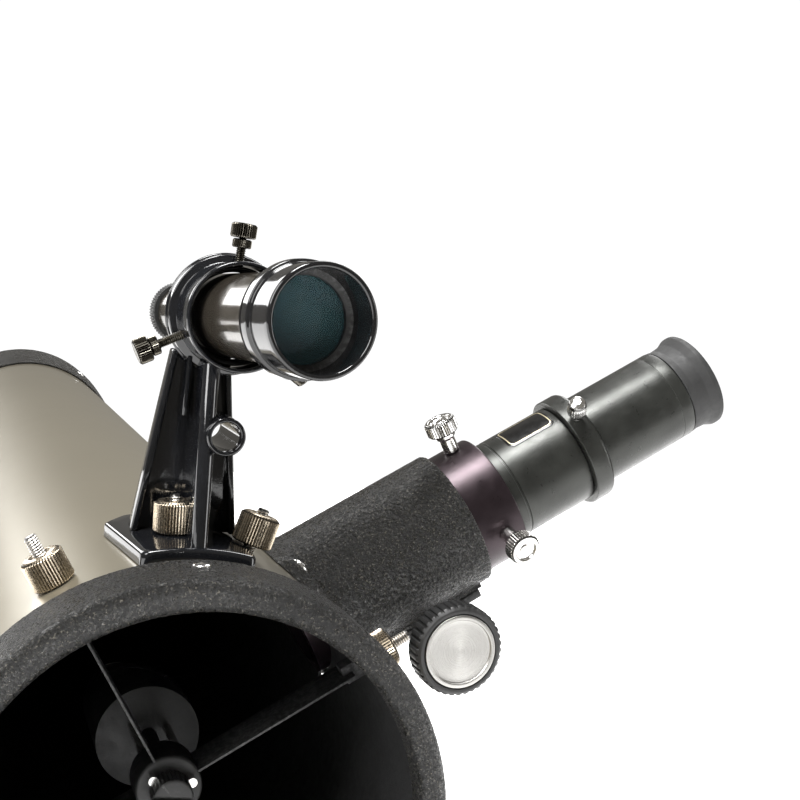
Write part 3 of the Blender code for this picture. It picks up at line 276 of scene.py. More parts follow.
def knurled_metal(name, colour, roughness, crest_radius, depth):
    """Plated metal whose knurl or thread has painted shade darkening its valleys, and random patches of
    grime. Radius and depth are in millimetres.
    """
    material, tree, shader = start_material(name, metallic=1.0)
    place = coordinates(tree)
    flat = add_node(tree, "ShaderNodeVectorMath", {0: place, 1: (1, 1, 0)}, operation="MULTIPLY")
    length = add_node(tree, "ShaderNodeVectorMath", {0: flat.outputs["Vector"]}, operation="LENGTH")
    radius = length.outputs["Value"]
    low = crest_radius - depth
    high = crest_radius
    # Painted shade: the colour darkens down into the valleys of the knurl or thread by radius, and faces well
    # below the valleys' root keep full colour.
    unshaded_and_clean = map_range(tree, radius, low - 0.05, high - 0.1, 0, 1)
    inside = map_range(tree, radius, low - 0.6, low - 0.3, 1, 0)
    unshaded_and_clean = math_node(tree, "MAXIMUM", unshaded_and_clean, inside)
    grime = noise_value(tree, place, 1.4, 5.0, 0.7)
    # Random patches of grime dim the colour a little more and raise the roughness.
    unshaded_and_clean = math_node(tree, "MULTIPLY", unshaded_and_clean, map_range(tree, grime, 0.2, 0.55, 0.72, 1.0))
    shade = mix_colours(tree, unshaded_and_clean, scaled_colour(colour, 0.16), colour)
    feed(shader, "Base Color", shade)
    rough = map_range(tree, grime, 0.3, 0.7, roughness - 0.05, roughness + 0.1)
    feed(shader, "Roughness", rough)
    marks = noise_value(tree, coordinates(tree, LATHE), 9.0, 3.0)
    feed(shader, "Normal", bump(tree, marks, 0.03 * MM))
    return material


def tube_paint():
    """Champagne enamel with fine metal flake under a clear coat."""
    material, tree, shader = start_material(
        "tube_paint", metallic=0.55, coat_weight=0.5, coat_roughness=0.06, specular_ior_level=0.6
    )
    place = coordinates(tree)
    flake = add_node(tree, "ShaderNodeTexVoronoi", {"Vector": place, "Scale": 9.0}, feature="F1")
    sparkle = map_range(tree, flake.outputs["Distance"], 0.0, 0.6, 1.0, 0.0)
    drift = noise_value(tree, place, 0.012, 4.0, 0.5)
    base = mix_colours(tree, drift, (0.222, 0.197, 0.144), (0.232, 0.206, 0.152))
    shade = mix_colours(tree, math_node(tree, "MULTIPLY", sparkle, 0.3), base, (0.38, 0.342, 0.262))
    feed(shader, "Base Color", shade)
    smudges = noise_value(tree, place, 0.02, 2.0, 0.5)
    feed(shader, "Roughness", map_range(tree, smudges, 0.3, 0.7, 0.29, 0.31))
    brushed = noise_value(tree, coordinates(tree, (1.0, 1.0, 0.15)), 0.9, 3.0, 0.5)
    feed(shader, "Normal", bump(tree, brushed, 0.004 * MM))
    return material


def spun_aluminium():
    """Concentric marks from facing on a lathe, which fan the highlights out."""
    material, tree, shader = start_material("spun_aluminium", metallic=1.0, anisotropic=0.85)
    place = coordinates(tree)
    flat = add_node(tree, "ShaderNodeVectorMath", {0: place, 1: (1, 1, 0)}, operation="MULTIPLY")
    radius = add_node(tree, "ShaderNodeVectorMath", {0: flat.outputs["Vector"]}, operation="LENGTH")
    line = add_node(tree, "ShaderNodeCombineXYZ", {"X": radius.outputs["Value"]}).outputs["Vector"]
    rings = noise_value(tree, line, 5.0, 4.0, 0.7)
    shade = mix_colours(tree, rings, (0.26, 0.255, 0.245), (0.5, 0.49, 0.47))
    feed(shader, "Base Color", shade)
    feed(shader, "Roughness", map_range(tree, rings, 0.3, 0.7, 0.2, 0.36))
    feed(shader, "Normal", bump(tree, rings, 0.02 * MM))
    tangent = add_node(tree, "ShaderNodeTangent", direction_type="RADIAL", axis="Z")
    feed(shader, "Tangent", tangent.outputs["Tangent"])
    return material


def coated_glass(name, tint, film):
    """Optical glass with an anti-reflection film, slightly dusty."""
    material, tree, shader = start_material(
        name, transmission_weight=0.75, ior=1.52, coat_weight=0.6,
        thin_film_thickness=film, thin_film_ior=1.38,
    )
    place = coordinates(tree)
    specks = noise_value(tree, place, 0.35, 3.0, 0.6)
    haze = map_range(tree, specks, 0.45, 0.75, 0, 0.25)
    feed(shader, "Base Color", mix_colours(tree, haze, tint, (0.5, 0.56, 0.56)))
    feed(shader, "Roughness", map_range(tree, specks, 0.4, 0.8, 0.012, 0.05))
    return material


def mirror_coating():
    """Aluminised surface with a thin film of dust."""
    material, tree, shader = start_material("mirror_coating", metallic=1.0)
    place = coordinates(tree)
    specks = noise_value(tree, place, 0.5, 9.0, 0.8)
    dust = map_range(tree, specks, 0.62, 0.76, 0, 0.35)
    feed(shader, "Base Color", mix_colours(tree, dust, (0.93, 0.94, 0.95), (0.55, 0.55, 0.54)))
    feed(shader, "Roughness", map_range(tree, specks, 0.55, 0.8, 0.012, 0.12))
    return material


NICKEL = (0.56, 0.48, 0.37)
BLACK_NICKEL = (0.13, 0.12, 0.1)

MATERIALS = {
    "tube_paint": tube_paint(),
    "tube_inside": finish("tube_inside", (0.012, 0.012, 0.012), 0.72, 0.3, 0.1, 0.08, (2.2, 0.08, EVEN)),
    "wrinkle_paint": wrinkle_paint(),
    "bracket_plastic": finish(
        "bracket_plastic", (0.007, 0.0075, 0.009), 0.07, 0.3, 0.04, 0.04, (0.35, 0.025, EVEN),
        coat_weight=0.15, coat_roughness=0.04,
    ),
    "finder_gloss": finish(
        "finder_gloss", (0.008, 0.008, 0.0085), 0.08, 0.3, 0.04, 0.05, (0.5, 0.01, EVEN),
        coat_weight=0.1, coat_roughness=0.03,
    ),
    "finder_bronze": finish(
        "finder_bronze", (0.05, 0.043, 0.034), 0.16, 0.2, 0.05, 0.06, (3.0, 0.006, LATHE),
        metallic=0.55, coat_weight=0.3, coat_roughness=0.05,
    ),
    "plum_anodised": finish(
        "plum_anodised", (0.034, 0.024, 0.028), 0.32, 0.2, 0.05, 0.06, (2.8, 0.045, EVEN),
        wear=(0.22, 0.2, 0.2), metallic=0.7,
    ),
    "black_anodised": finish(
        "black_anodised", (0.032, 0.033, 0.03), 0.32, 0.2, 0.06, 0.07, (2.6, 0.05, EVEN),
        wear=(0.2, 0.2, 0.19), metallic=0.55,
    ),
    "black_rubber": finish("black_rubber", (0.014, 0.014, 0.014), 0.62, 0.3, 0.1, 0.1, (2.5, 0.05, EVEN)),
    "knob_rubber": finish("knob_rubber", (0.018, 0.018, 0.018), 0.42, 0.3, 0.1, 0.1, (2.0, 0.03, EVEN)),
    "black_matte": finish(
        "black_matte", (0.014, 0.014, 0.014), 0.55, 0.3, 0.1, 0.08, (1.6, 0.05, EVEN), wear=(0.1, 0.1, 0.1)
    ),
    "cast_grey": finish(
        "cast_grey", (0.022, 0.022, 0.023), 0.42, 0.25, 0.08, 0.05, (0.9, 0.12, EVEN),
        wear=(0.2, 0.2, 0.2), metallic=0.2,
    ),
    "felt": finish("felt", (0.02, 0.02, 0.022), 0.95, 0.35, 0.04, 0.12, (1.8, 0.4, EVEN), sheen_weight=0.4),
    "bright_steel": finish(
        "bright_steel", (0.76, 0.75, 0.73), 0.2, 0.08, 0.06, 0.12, (7.0, 0.02, LATHE), metallic=1.0
    ),
    "spring_steel": finish(
        "spring_steel", (0.42, 0.41, 0.4), 0.28, 0.2, 0.06, 0.2, (3.0, 0.02, EVEN), metallic=1.0
    ),
    "barrel_chrome": finish(
        "barrel_chrome", (0.74, 0.73, 0.7), 0.13, 0.06, 0.05, 0.1, (5.0, 0.01, LATHE), metallic=1.0
    ),
    "gold_print": finish(
        "gold_print", (0.5, 0.44, 0.3), 0.4, 0.15, 0.08, 0.3, (3.0, 0.01, EVEN), metallic=0.7
    ),
    "label": finish("label", (0.006, 0.006, 0.006), 0.22, 0.3, 0.05, 0.1, (1.2, 0.01, EVEN)),
    "nickel_nut": knurled_metal("nickel_nut", NICKEL, 0.24, 6.35, 0.42),
    "nickel_screw": knurled_metal("nickel_screw", (0.78, 0.77, 0.75), 0.17, 6.0, 0.35),
    "nickel_small": knurled_metal("nickel_small", (0.76, 0.75, 0.73), 0.18, 3.6, 0.22),
    "nickel_head": knurled_metal("nickel_head", BLACK_NICKEL, 0.2, 3.9, 0.4),
    "nickel_lock": knurled_metal("nickel_lock", BLACK_NICKEL, 0.2, 2.9, 0.25),
    "thread_steel": knurled_metal("thread_steel", (0.6, 0.58, 0.55), 0.25, 2.0, 0.35),
    "thread_dark": knurled_metal("thread_dark", BLACK_NICKEL, 0.25, 1.5, 0.35),
    "spun_aluminium": spun_aluminium(),
    "mirror_coating": mirror_coating(),
    "lens_glass": coated_glass("lens_glass", (0.2, 0.38, 0.42), 118.0),
}


# ---------------------------------------------------------------- meshes


SMOOTH_ANGLE = math.radians(38)
BEVEL_ANGLE = math.radians(25)


def new_piece(name, points, faces, material, matrix):
    """A mesh object from local points, with outward faces, smooth except at edges over SMOOTH_ANGLE."""
    mesh = bpy.data.meshes.new(name)
    mesh.from_pydata([(x * MM, y * MM, z * MM) for x, y, z in points], [], faces)
    shape = bmesh.new()
    shape.from_mesh(mesh)
    bmesh.ops.recalc_face_normals(shape, faces=shape.faces)
    return finished_piece(shape, mesh, name, material, matrix)


def finished_piece(shape, mesh, name, material, matrix):
    """The object made of an edited shape."""
    shape.to_mesh(mesh)
    shape.free()
    smooth(mesh)
    mesh.materials.append(MATERIALS[material])
    piece = bpy.data.objects.new(name, mesh)
    bpy.context.scene.collection.objects.link(piece)
    piece.matrix_world = matrix
    return piece


def smooth(mesh):
    mesh.shade_smooth()
    mesh.set_sharp_from_angle(angle=SMOOTH_ANGLE)


def place_on(piece, body, slot, *nodes):
    """The piece rides on a body and stands for the CAD nodes, which it hides; slot is not used."""
    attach(piece, body)
    if nodes:
        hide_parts(*nodes)
    return piece


def loft(rings, joined=False):
    """Points and faces of rings of equal length, each a closed loop. joined also joins last to first."""
    rings = np.asarray(rings, float)
    count, sides = rings.shape[:2]
    faces = []
    spans = count if joined else count - 1
    for lower in range(spans):
        upper = (lower + 1) % count
        for side in range(sides):
            after = (side + 1) % sides
            faces.append(
                (lower * sides + side, lower * sides + after, upper * sides + after, upper * sides + side)
            )
    return rings.reshape(-1, 3), faces


def capped(points, faces, sides):
    """Closes the first and last ring of a loft with a fan to its centre."""
    points = [tuple(p) for p in points]
    for start in (0, len(points) - sides):
        ring = points[start : start + sides]
        centre = len(points)
        points.append(tuple(np.mean(ring, axis=0)))
        faces += [(start + side, start + (side + 1) % sides, centre) for side in range(sides)]
    return points, faces


def rounded(corners, steps=4, closed=True):
    """An outline through corners (a, b, fillet radius), each rounded by an arc."""
    outline = []
    count = len(corners)
    for index, (a, b, radius) in enumerate(corners):
        here = Vector((a, b))
        ends = not closed and index in (0, count - 1)
        if radius == 0 or ends:
            outline.append((a, b))
            continue
        before = Vector(corners[index - 1][:2]) - here
        after = Vector(corners[(index + 1) % count][:2]) - here
        half = before.angle(after) / 2
        reach = min(radius / math.tan(half), 0.48 * before.length, 0.48 * after.length)
        size = reach * math.tan(half)
        middle = here + (before.normalized() + after.normalized()).normalized() * (size / math.sin(half))
        start = here + before.normalized() * reach - middle
        end = here + after.normalized() * reach - middle
        sweep = start.angle_signed(end)
        for step in range(steps + 1):
            spoke = Matrix.Rotation(-sweep * step / steps, 2) @ start
            outline.append(tuple(middle + spoke))
    return outline


def refined(outline, spacing, closed=True):
    """The outline with points added so that none are further apart than spacing."""
    points = []
    pairs = list(zip(outline, outline[1:] + (outline[:1] if closed else [])))
    for (a, b), (c, d) in pairs:
        pieces = max(1, math.ceil(math.hypot(c - a, d - b) / spacing))
        points += [(a + (c - a) * k / pieces, b + (d - b) * k / pieces) for k in range(pieces)]
    return points if closed else points + [outline[-1]]


def lathe(name, outline, matrix, material, sides=128, relief=None):
    """Turns (radius, height) points about local Z. An outline that starts and ends at radius 0 is closed
    by the axis, any other joins its last point to its first. relief(angles, radii, heights) changes radii."""
    on_axis = outline[0][0] == 0
    if on_axis:
        outline = outline[1:-1]
    angles = 2 * math.pi * np.arange(sides) / sides
    radii = np.array([[p[0]] for p in outline]) * np.ones(sides)
    heights = np.array([[p[1]] for p in outline]) * np.ones(sides)
    if relief:
        radii = relief(angles[None, :], radii, heights)
    rings = np.stack([radii * np.cos(angles), radii * np.sin(angles), heights], axis=2)
    points, faces = loft(rings, joined=not on_axis)
    if on_axis:
        points, faces = capped(points, faces, sides)
    return new_piece(name, points, faces, material, matrix)


def turned_piece(name, corners, steps, spacing, matrix, material, sides=128, relief=None):
    """A lathed piece from corners (radius, height, fillet). steps is a fillet's number of pieces, and spacing
    the most between two points of the outline, or None."""
    closed = corners[0][0] != 0
    outline = rounded(corners, steps, closed)
    if spacing:
        outline = refined(outline, spacing, closed)
    return lathe(name, outline, matrix, material, sides, relief)


def saw(turns):
    """A wave from 0 to 1 and back, once for each whole turn."""
    return np.abs(2 * (turns - np.floor(turns)) - 1)


def knurl(teeth, depth, crest):
    """Straight knurling where the outline reaches the crest radius."""

    def relief(angles, radii, heights):
        cut = radii - depth * saw(angles * teeth / (2 * math.pi))
        return np.where(radii > crest - 0.15, cut, radii)

    return relief


def flutes(count, depth, crest):
    """Round hollows in a grip, with smooth lands between them."""

    def relief(angles, radii, heights):
        wave = np.clip(np.cos(angles * count) * 1.4 + 0.1, 0, 1)
        return np.where(radii > crest - 0.25, radii - depth * wave, radii)

    return relief


def thread(pitch, depth, crest):
    """A helical thread where the outline reaches the crest radius."""

    def relief(angles, radii, heights):
        wave = saw(heights / pitch - angles / (2 * math.pi))
        return np.where(radii > crest - 0.02, radii - depth * wave, radii)

    return relief


# Rows of points to a pitch: not a whole number, so that rounding can't change how many rows a rod has.
THREAD_STEPS = 8.02


def threaded_rod(name, radius, low, high, matrix, material, pitch=0.8, sides=32):
    """A threaded stud with a short plain tip."""
    tip = 0.5
    body = refined([(radius, low), (radius, high - tip)], pitch / THREAD_STEPS, closed=False)
    outline = [(0, low), *body, (radius - tip, high), (0, high)]
    return lathe(name, outline, matrix, material, sides, thread(pitch, 0.35, radius))


def prism(name, outline, low, high, matrix, material, bevel=0.4, segments=3):
    """The outline's (x, y) points extruded along local Z, with bevelled edges."""
    shape = bmesh.new()
    bottom = [shape.verts.new((x * MM, y * MM, low * MM)) for x, y in outline]
    face = shape.faces.new(bottom)
    raised = bmesh.ops.extrude_face_region(shape, geom=[face])
    moved = [item for item in raised["geom"] if isinstance(item, bmesh.types.BMVert)]
    bmesh.ops.translate(shape, verts=moved, vec=(0, 0, high * MM - low * MM))
    bmesh.ops.recalc_face_normals(shape, faces=shape.faces)
    if bevel:
        sharp = [e for e in shape.edges if e.calc_face_angle(0) > BEVEL_ANGLE]
        options = {"segments": segments, "profile": 0.5, "affect": "EDGES", "clamp_overlap": True}
        bmesh.ops.bevel(shape, geom=sharp, offset=bevel * MM, **options)
    return finished_piece(shape, bpy.data.meshes.new(name), name, material, matrix)


def block(name, low, high, matrix, material, bevel=0.4):
    outline = [(low[0], low[1]), (high[0], low[1]), (high[0], high[1]), (low[0], high[1])]
    return prism(name, outline, low[2], high[2], matrix, material, bevel)


def arc_points(centre, radius, start, end, steps):
    angles = [math.radians(start + (end - start) * k / steps) for k in range(steps + 1)]
    return [(centre[0] + radius * math.cos(a), centre[1] + radius * math.sin(a)) for a in angles]


def apply_modifiers(piece):
    graph = bpy.context.evaluated_depsgraph_get()
    mesh = bpy.data.meshes.new_from_object(piece.evaluated_get(graph))
    piece.modifiers.clear()
    piece.data = mesh


def subtract(piece, *tools):
    """Cuts the tools out of the piece and removes them."""
    for tool in tools:
        modifier = piece.modifiers.new(tool.name, "BOOLEAN")
        modifier.operation = "DIFFERENCE"
        modifier.solver = "EXACT"
        modifier.object = tool
    bpy.context.view_layer.update()
    apply_modifiers(piece)
    for tool in tools:
        bpy.data.objects.remove(tool)
    smooth(piece.data)
    return piece


def rod(name, radius, low, high, matrix, material="black_matte", sides=64):
    return lathe(name, [(0, low), (radius, low), (radius, high), (0, high)], matrix, material, sides)


def roughen(piece, size, depth):
    """Moves points along their normals by smooth noise of that grain size, for a cast or wrinkled skin."""
    mesh = piece.data
    normals = [vertex.normal.copy() for vertex in mesh.vertices]
    for vertex, normal in zip(mesh.vertices, normals):
        vertex.co += normal * (depth * MM * noise.noise(vertex.co / (size * MM)))
    mesh.update()
    return piece


def helix(name, radius, wire, turns, low, high, matrix, material, sides=10):
    """A coil spring with closed ends, wound about local Z."""
    steps = int(turns * 28)
    rings = []
    for step in range(steps + 1):
        angle = 2 * math.pi * turns * step / steps
        out = Vector((math.cos(angle), math.sin(angle), 0))
        centre = out * radius + Vector((0, 0, low + (high - low) * step / steps))
        ring = []
        for side in range(sides):
            around = 2 * math.pi * side / sides
            ring.append(centre + out * (wire * math.cos(around)) + Vector((0, 0, wire * math.sin(around))))
        rings.append([tuple(p) for p in ring])
    points, faces = loft(rings)
    points, faces = capped(points, faces, sides)
    return new_piece(name, points, faces, material, matrix)


# ---------------------------------------------------------------- main tube and its end rings

TUBE_RADIUS = 70.0
TUBE_WALL = 1.2
GAP = 0.3
HOUSING_RADIUS = 26.25
HOUSING_BORE = 24.35
HOUSING_END = 134.9


def build_tube():
    """Rolled steel tube, enamelled outside and matt black inside, open to the focuser."""
    low, high = 8.5, 856
    inner = TUBE_RADIUS - TUBE_WALL
    outline = [(inner, low), (TUBE_RADIUS, low), (TUBE_RADIUS, high), (inner, high)]
    tube = lathe("main_tube_skin", refined(outline, 60), TUBE, "tube_paint", 192)
    subtract(tube, rod("focuser_opening", HOUSING_BORE + 0.4, 60, 80, FOCUSER))
    subtract(tube, block("rack_notch", (-3.7, 20, 50), (3.7, 29, 80), FOCUSER, "tube_inside", 0))
    tube.data.materials.append(MATERIALS["tube_inside"])
    for face in tube.data.polygons:
        if math.hypot(face.center.x, face.center.y) < (TUBE_RADIUS - TUBE_WALL / 2) * MM:
            face.material_index = 1
    place_on(tube, ROOT, "tube_paint", "main_tube")


def build_front_ring():
    """Cast ring with a rounded shoulder, in coarse wrinkle finish, and the screws that hold it."""
    outer, opening, length = 73, 64.2, 25.6
    seat = TUBE_RADIUS + GAP
    corners = [
        (opening, 0, 2), (outer, 0, 7), (outer, length, 0.8), (seat, length, 0.2), (seat, 8.2, 0),
        (opening, 8.2, 0.5),
    ]
    ring = turned_piece("front_ring_casting", corners, 8, 0.9, TUBE, "wrinkle_paint", 560)
    roughen(ring, 1.1, 0.12)
    place_on(ring, ROOT, "wrinkle_paint", "front_ring")
    for number, angle in enumerate((-4.6, 115.4, 235.4), 1):
        seat_frame = radial_frame(math.radians(angle), 18)
        phillips_screw(f"ring_screw_{number}", shifted(seat_frame, z=outer - 0.4), 2.5, 1.0, ROOT)


def phillips_screw(name, matrix, radius, height, body):
    """A domed screw head with a cross recess, standing on local Z."""
    dome = [(radius * math.cos(a), height * (0.35 + 0.65 * math.sin(a))) for a in np.linspace(0, QUARTER, 9)]
    outline = [(0, -1.5), (0.55 * radius, -1.5), (0.55 * radius, 0), (radius, 0), *dome[:-1], (0, height)]
    head = lathe(name, outline, matrix, "bright_steel", 48)
    slot = 0.17 * radius
    reach = 0.62 * radius
    tools = []
    for letter, turn in (("a", 0.0), ("b", QUARTER)):
        low = (-reach, -slot, 0.45 * height)
        high = (reach, slot, 2 * height)
        tools.append(block(f"{name}_slot_{letter}", low, high, turned(matrix, turn), "bright_steel", 0))
    subtract(head, *tools)
    return place_on(head, body, "bright_steel")


def build_rear_ring():
    """The mirror end's casting: a long sleeve with a rounded back and a vent."""
    seat = TUBE_RADIUS + 2 * GAP
    start, end = 762, 870
    corners = [
        (seat, start, 0), (71.4, start, 0.5), (73.6, start + 28, 6), (75, start + 68, 6), (75, end, 4),
        (20, end, 1.2), (20, end - 3.5, 0.6), (seat, end - 3.5, 0),
    ]
    ring = turned_piece("rear_ring_casting", corners, 6, 2.2, TUBE, "wrinkle_paint", 320)
    holes = []
    for number in (1, 2, 3):
        hole = joint_frame(f"collimation_turn_{number}", (1, 0, 0))
        holes.append(rod(f"plate_hole_{number}", 2.7, -8, 8, hole))
    subtract(ring, *holes)
    roughen(ring, 1.4, 0.12)
    place_on(ring, ROOT, "wrinkle_paint", "rear_ring")
    for number, angle in enumerate((30, 150, 270), 1):
        seat_frame = radial_frame(math.radians(angle), 800)
        phillips_screw(f"rear_ring_screw_{number}", shifted(seat_frame, z=73.7), 2.7, 1.6, ROOT)


# ---------------------------------------------------------------- primary mirror end


def build_primary():
    radius, depth, front = 57, 0.9025, 840
    face = [(radius * s, front + depth * (1 - s * s)) for s in np.linspace(0, 0.98, 20)]
    outline = [*face, (radius, front + 0.7), (radius, front + 12), (0, front + 12)]
    mirror = lathe("primary_mirror_disc", outline, TUBE, "mirror_coating", 160)
    place_on(mirror, "mirror_carrier", "mirror_coating", "primary_mirror")
    floor = front + 12.3
    corners = [
        (0, floor, 0), (57.3, floor, 0), (57.3, front - 0.5, 0.3), (60.5, front - 0.5, 0.8),
        (60.5, 858, 1.5), (0, 858, 0),
    ]
    cell = turned_piece("mirror_cell_cup", corners, 5, None, TUBE, "cast_grey", 128)
    holes = []
    for number in (1, 2, 3):
        hole = joint_frame(f"collimation_turn_{number}", (1, 0, 0))
        holes.append(rod(f"cell_hole_{number}", 2.7, -16.6, -8, hole))
    subtract(cell, *holes)
    place_on(cell, "mirror_carrier", "cast_grey", "mirror_cell")
    for number in range(3):
        clip_frame = radial_frame(math.radians(60 + 120 * number), front)
        low = (-0.2, -4, 50)
        high = (1.0, 4, 60)
        clip = block(f"mirror_clip_{number + 1}", low, high, shifted(clip_frame, x=0.7), "black_matte", 0.3)
        place_on(clip, "mirror_carrier", "black_matte")
        screw_frame = axis_frame(place_at(clip_frame, 1.7, 0, 58.6), (0, -1, 0), (1, 0, 0))
        phillips_screw(f"clip_screw_{number + 1}", screw_frame, 1.7, 1.1, "mirror_carrier")


def build_collimation():
    for number in (1, 2, 3):
        axis = joint_frame(f"collimation_turn_{number}", (1, 0, 0))
        back, radius = GAP, 9
        corners = [
            (0, -14.6, 0), (2.2, -14.6, 0.3), (2.2, back, 0), (radius - 2, back, 0.4),
            (radius - 2, back + 1.2, 0.3), (radius, back + 1.6, 0.6), (radius, back + 8.6, 0.8),
            (radius - 1.6, back + 10.5, 0.8), (3.4, back + 10.5, 0.3), (2.8, back + 9.4, 0.3),
            (0, back + 9.4, 0),
        ]
        grip = flutes(14, 0.9, radius)
        knob = turned_piece(f"collimation_knob_{number}", corners, 4, 1.2, axis, "knob_rubber", 168, grip)
        place_on(knob, f"collimation_screw_{number}", "black_matte", f"collimation_screw_{number}")
        spring = helix(f"collimation_spring_{number}", 3.8, 0.4, 4.0, -10.4, -4.2, axis, "spring_steel")
        place_on(spring, ROOT, "bright_steel")


# ---------------------------------------------------------------- spider and secondary mirror


def build_spider():
    corners = [(3.35, 42, 0.4), (10, 42, 1.0), (10, 56, 1.0), (3.35, 56, 0.4)]
    hub = turned_piece("spider_hub_turned", corners, 4, None, TUBE, "black_matte", 96)
    place_on(hub, ROOT, "black_matte", "spider_hub")
    end = TUBE_RADIUS - TUBE_WALL - GAP
    first = QUARTER - math.atan2(FOCUS_AXIS.z, FOCUS_AXIS.x)
    for index in range(4):
        number = index + 1
        axis = radial_frame(first + index * QUARTER, 49)
        low = (-7, -0.4, 9.6)
        high = (7, 0.4, end - 4)
        vane = block(f"spider_blade_{number}", low, high, axis, "black_matte", 0.15)
        place_on(vane, ROOT, "black_matte", f"spider_vane_{number}")
        low = (-3, -3, end - 7)
        lug = block(f"spider_lug_{number}", low, (3, 3, end), axis, "black_matte", 0.5)
        place_on(lug, ROOT, "black_matte")
        stud = threaded_rod(f"spider_stud_{number}", 2, end - 3, 86, axis, "thread_steel")
        place_on(stud, ROOT, "bright_steel")
        seat = shifted(axis, z=TUBE_RADIUS + GAP)
        thumb_nut(f"spider_thumb_nut_{number}", seat, ROOT, f"spider_nut_{number}")
    for number in range(3):
        angle = math.radians(90 + 120 * number)
        place = shifted(TUBE, 6.7 * math.cos(angle), 6.7 * math.sin(angle))
        outline = [(0, 38.4), (1.4, 38.4), (1.4, 86), (0, 86)]
        screw = lathe(f"secondary_tilt_screw_{number + 1}", outline, place, "bright_steel", 32)
        place_on(screw, ROOT, "bright_steel")


def thumb_nut(name, matrix, body, node):
    """A knurled nut with a chamfered crown and a small countersink round the stud."""
    radius, height = 6.35, 9.8
    corners = [
        (2.1, 0, 0.2), (radius - 0.5, 0, 0.2), (radius, 0.5, 0.2), (radius, height - 1.1, 0.2),
        (radius - 1.3, height - 0.15, 0.3), (3.4, height, 0.3), (2.1, height - 1.0, 0.2),
    ]
    outline = refined(rounded(corners, 3), 1.4)
    nut = lathe(name, outline, matrix, "nickel_nut", 252, knurl(42, 0.42, radius))
    return place_on(nut, body, "nickel", node)


def build_secondary():
    """The bolt, the slanted holder and the flat mirror on it."""
    corners = [(0, 34, 0), (6, 34, 1.0), (6, 41.7, 0.4), (3, 41.7, 0), (3, 85.7, 0), (0, 85.7, 0)]
    grip = knurl(30, 0.3, 6)
    outline = rounded(corners, 4, closed=False)
    bolt = lathe("secondary_centre_bolt", outline, TUBE, "black_matte", 180, grip)
    slot = block("bolt_slot", (-7, -0.7, 33), (7, 0.7, 35.4), TUBE, "black_matte", 0)
    subtract(bolt, slot)
    place_on(bolt, "secondary_stalk", "black_matte", "secondary_bolt")
    centre = Vector((0, 0, FOCUSER_STATION * MM))
    inward = TUBE.inverted().to_3x3() @ FOCUS_AXIS
    normal = (inward + Vector((0, 0, -1)) * -1).normalized()
    start, end, radius = 86, 150, 17
    for name, front, back, finish_name, node in (
        ("secondary_flat", 0.0, -5, "mirror_coating", "secondary_mirror"),
        ("secondary_block", -5.3, None, "black_matte", "secondary_holder"),
    ):
        shape = bmesh.new()
        matrix = Matrix.Translation((0, 0, (start + end) / 2 * MM))
        size = {"radius1": radius * MM, "radius2": radius * MM, "depth": (end - start) * MM}
        bmesh.ops.create_cone(shape, cap_ends=True, segments=96, matrix=matrix, **size)
        for offset, keep in ((front, -1), (back, 1)):
            if offset is None:
                continue
            whole = shape.verts[:] + shape.edges[:] + shape.faces[:]
            plane = {"plane_co": centre + normal * (offset * MM), "plane_no": normal * -keep}
            cut = bmesh.ops.bisect_plane(shape, geom=whole, clear_outer=True, **plane)
            rim = [item for item in cut["geom_cut"] if isinstance(item, bmesh.types.BMEdge)]
            bmesh.ops.contextual_create(shape, geom=rim)
        sharp = [e for e in shape.edges if len(e.link_faces) == 2 and e.calc_face_angle(0) > BEVEL_ANGLE]
        bmesh.ops.bevel(shape, geom=sharp, offset=0.3 * MM, segments=2, profile=0.5, affect="EDGES")
        bmesh.ops.recalc_face_normals(shape, faces=shape.faces)
        piece = finished_piece(shape, bpy.data.meshes.new(name), name, finish_name, TUBE)
        place_on(piece, "secondary_head", finish_name, node)


# ---------------------------------------------------------------- focuser


def outline_ring(half_x, half_y, corner, angles):
    """Points on a rounded rectangle in the directions of the angles."""
    points = []
    for angle in angles:
        c, s = abs(math.cos(angle)), abs(math.sin(angle))
        reach = min(half_x / max(c, 1e-9), half_y / max(s, 1e-9))
        centre = Vector((half_x - corner, half_y - corner))
        ray = Vector((c, s))
        if (ray * reach).x > centre.x and (ray * reach).y > centre.y:
            along = ray.dot(centre)
            reach = along + math.sqrt(max(along**2 - centre.length_squared + corner**2, 0))
        points.append((reach * math.cos(angle), reach * math.sin(angle)))
    return np.array(points)


def rack_way(name):
    """A cutter for the slot that the rack slides in."""
    return block(name, (-3.7, 20, 50), (3.7, 30, 160), FOCUSER, "black_matte", 0)


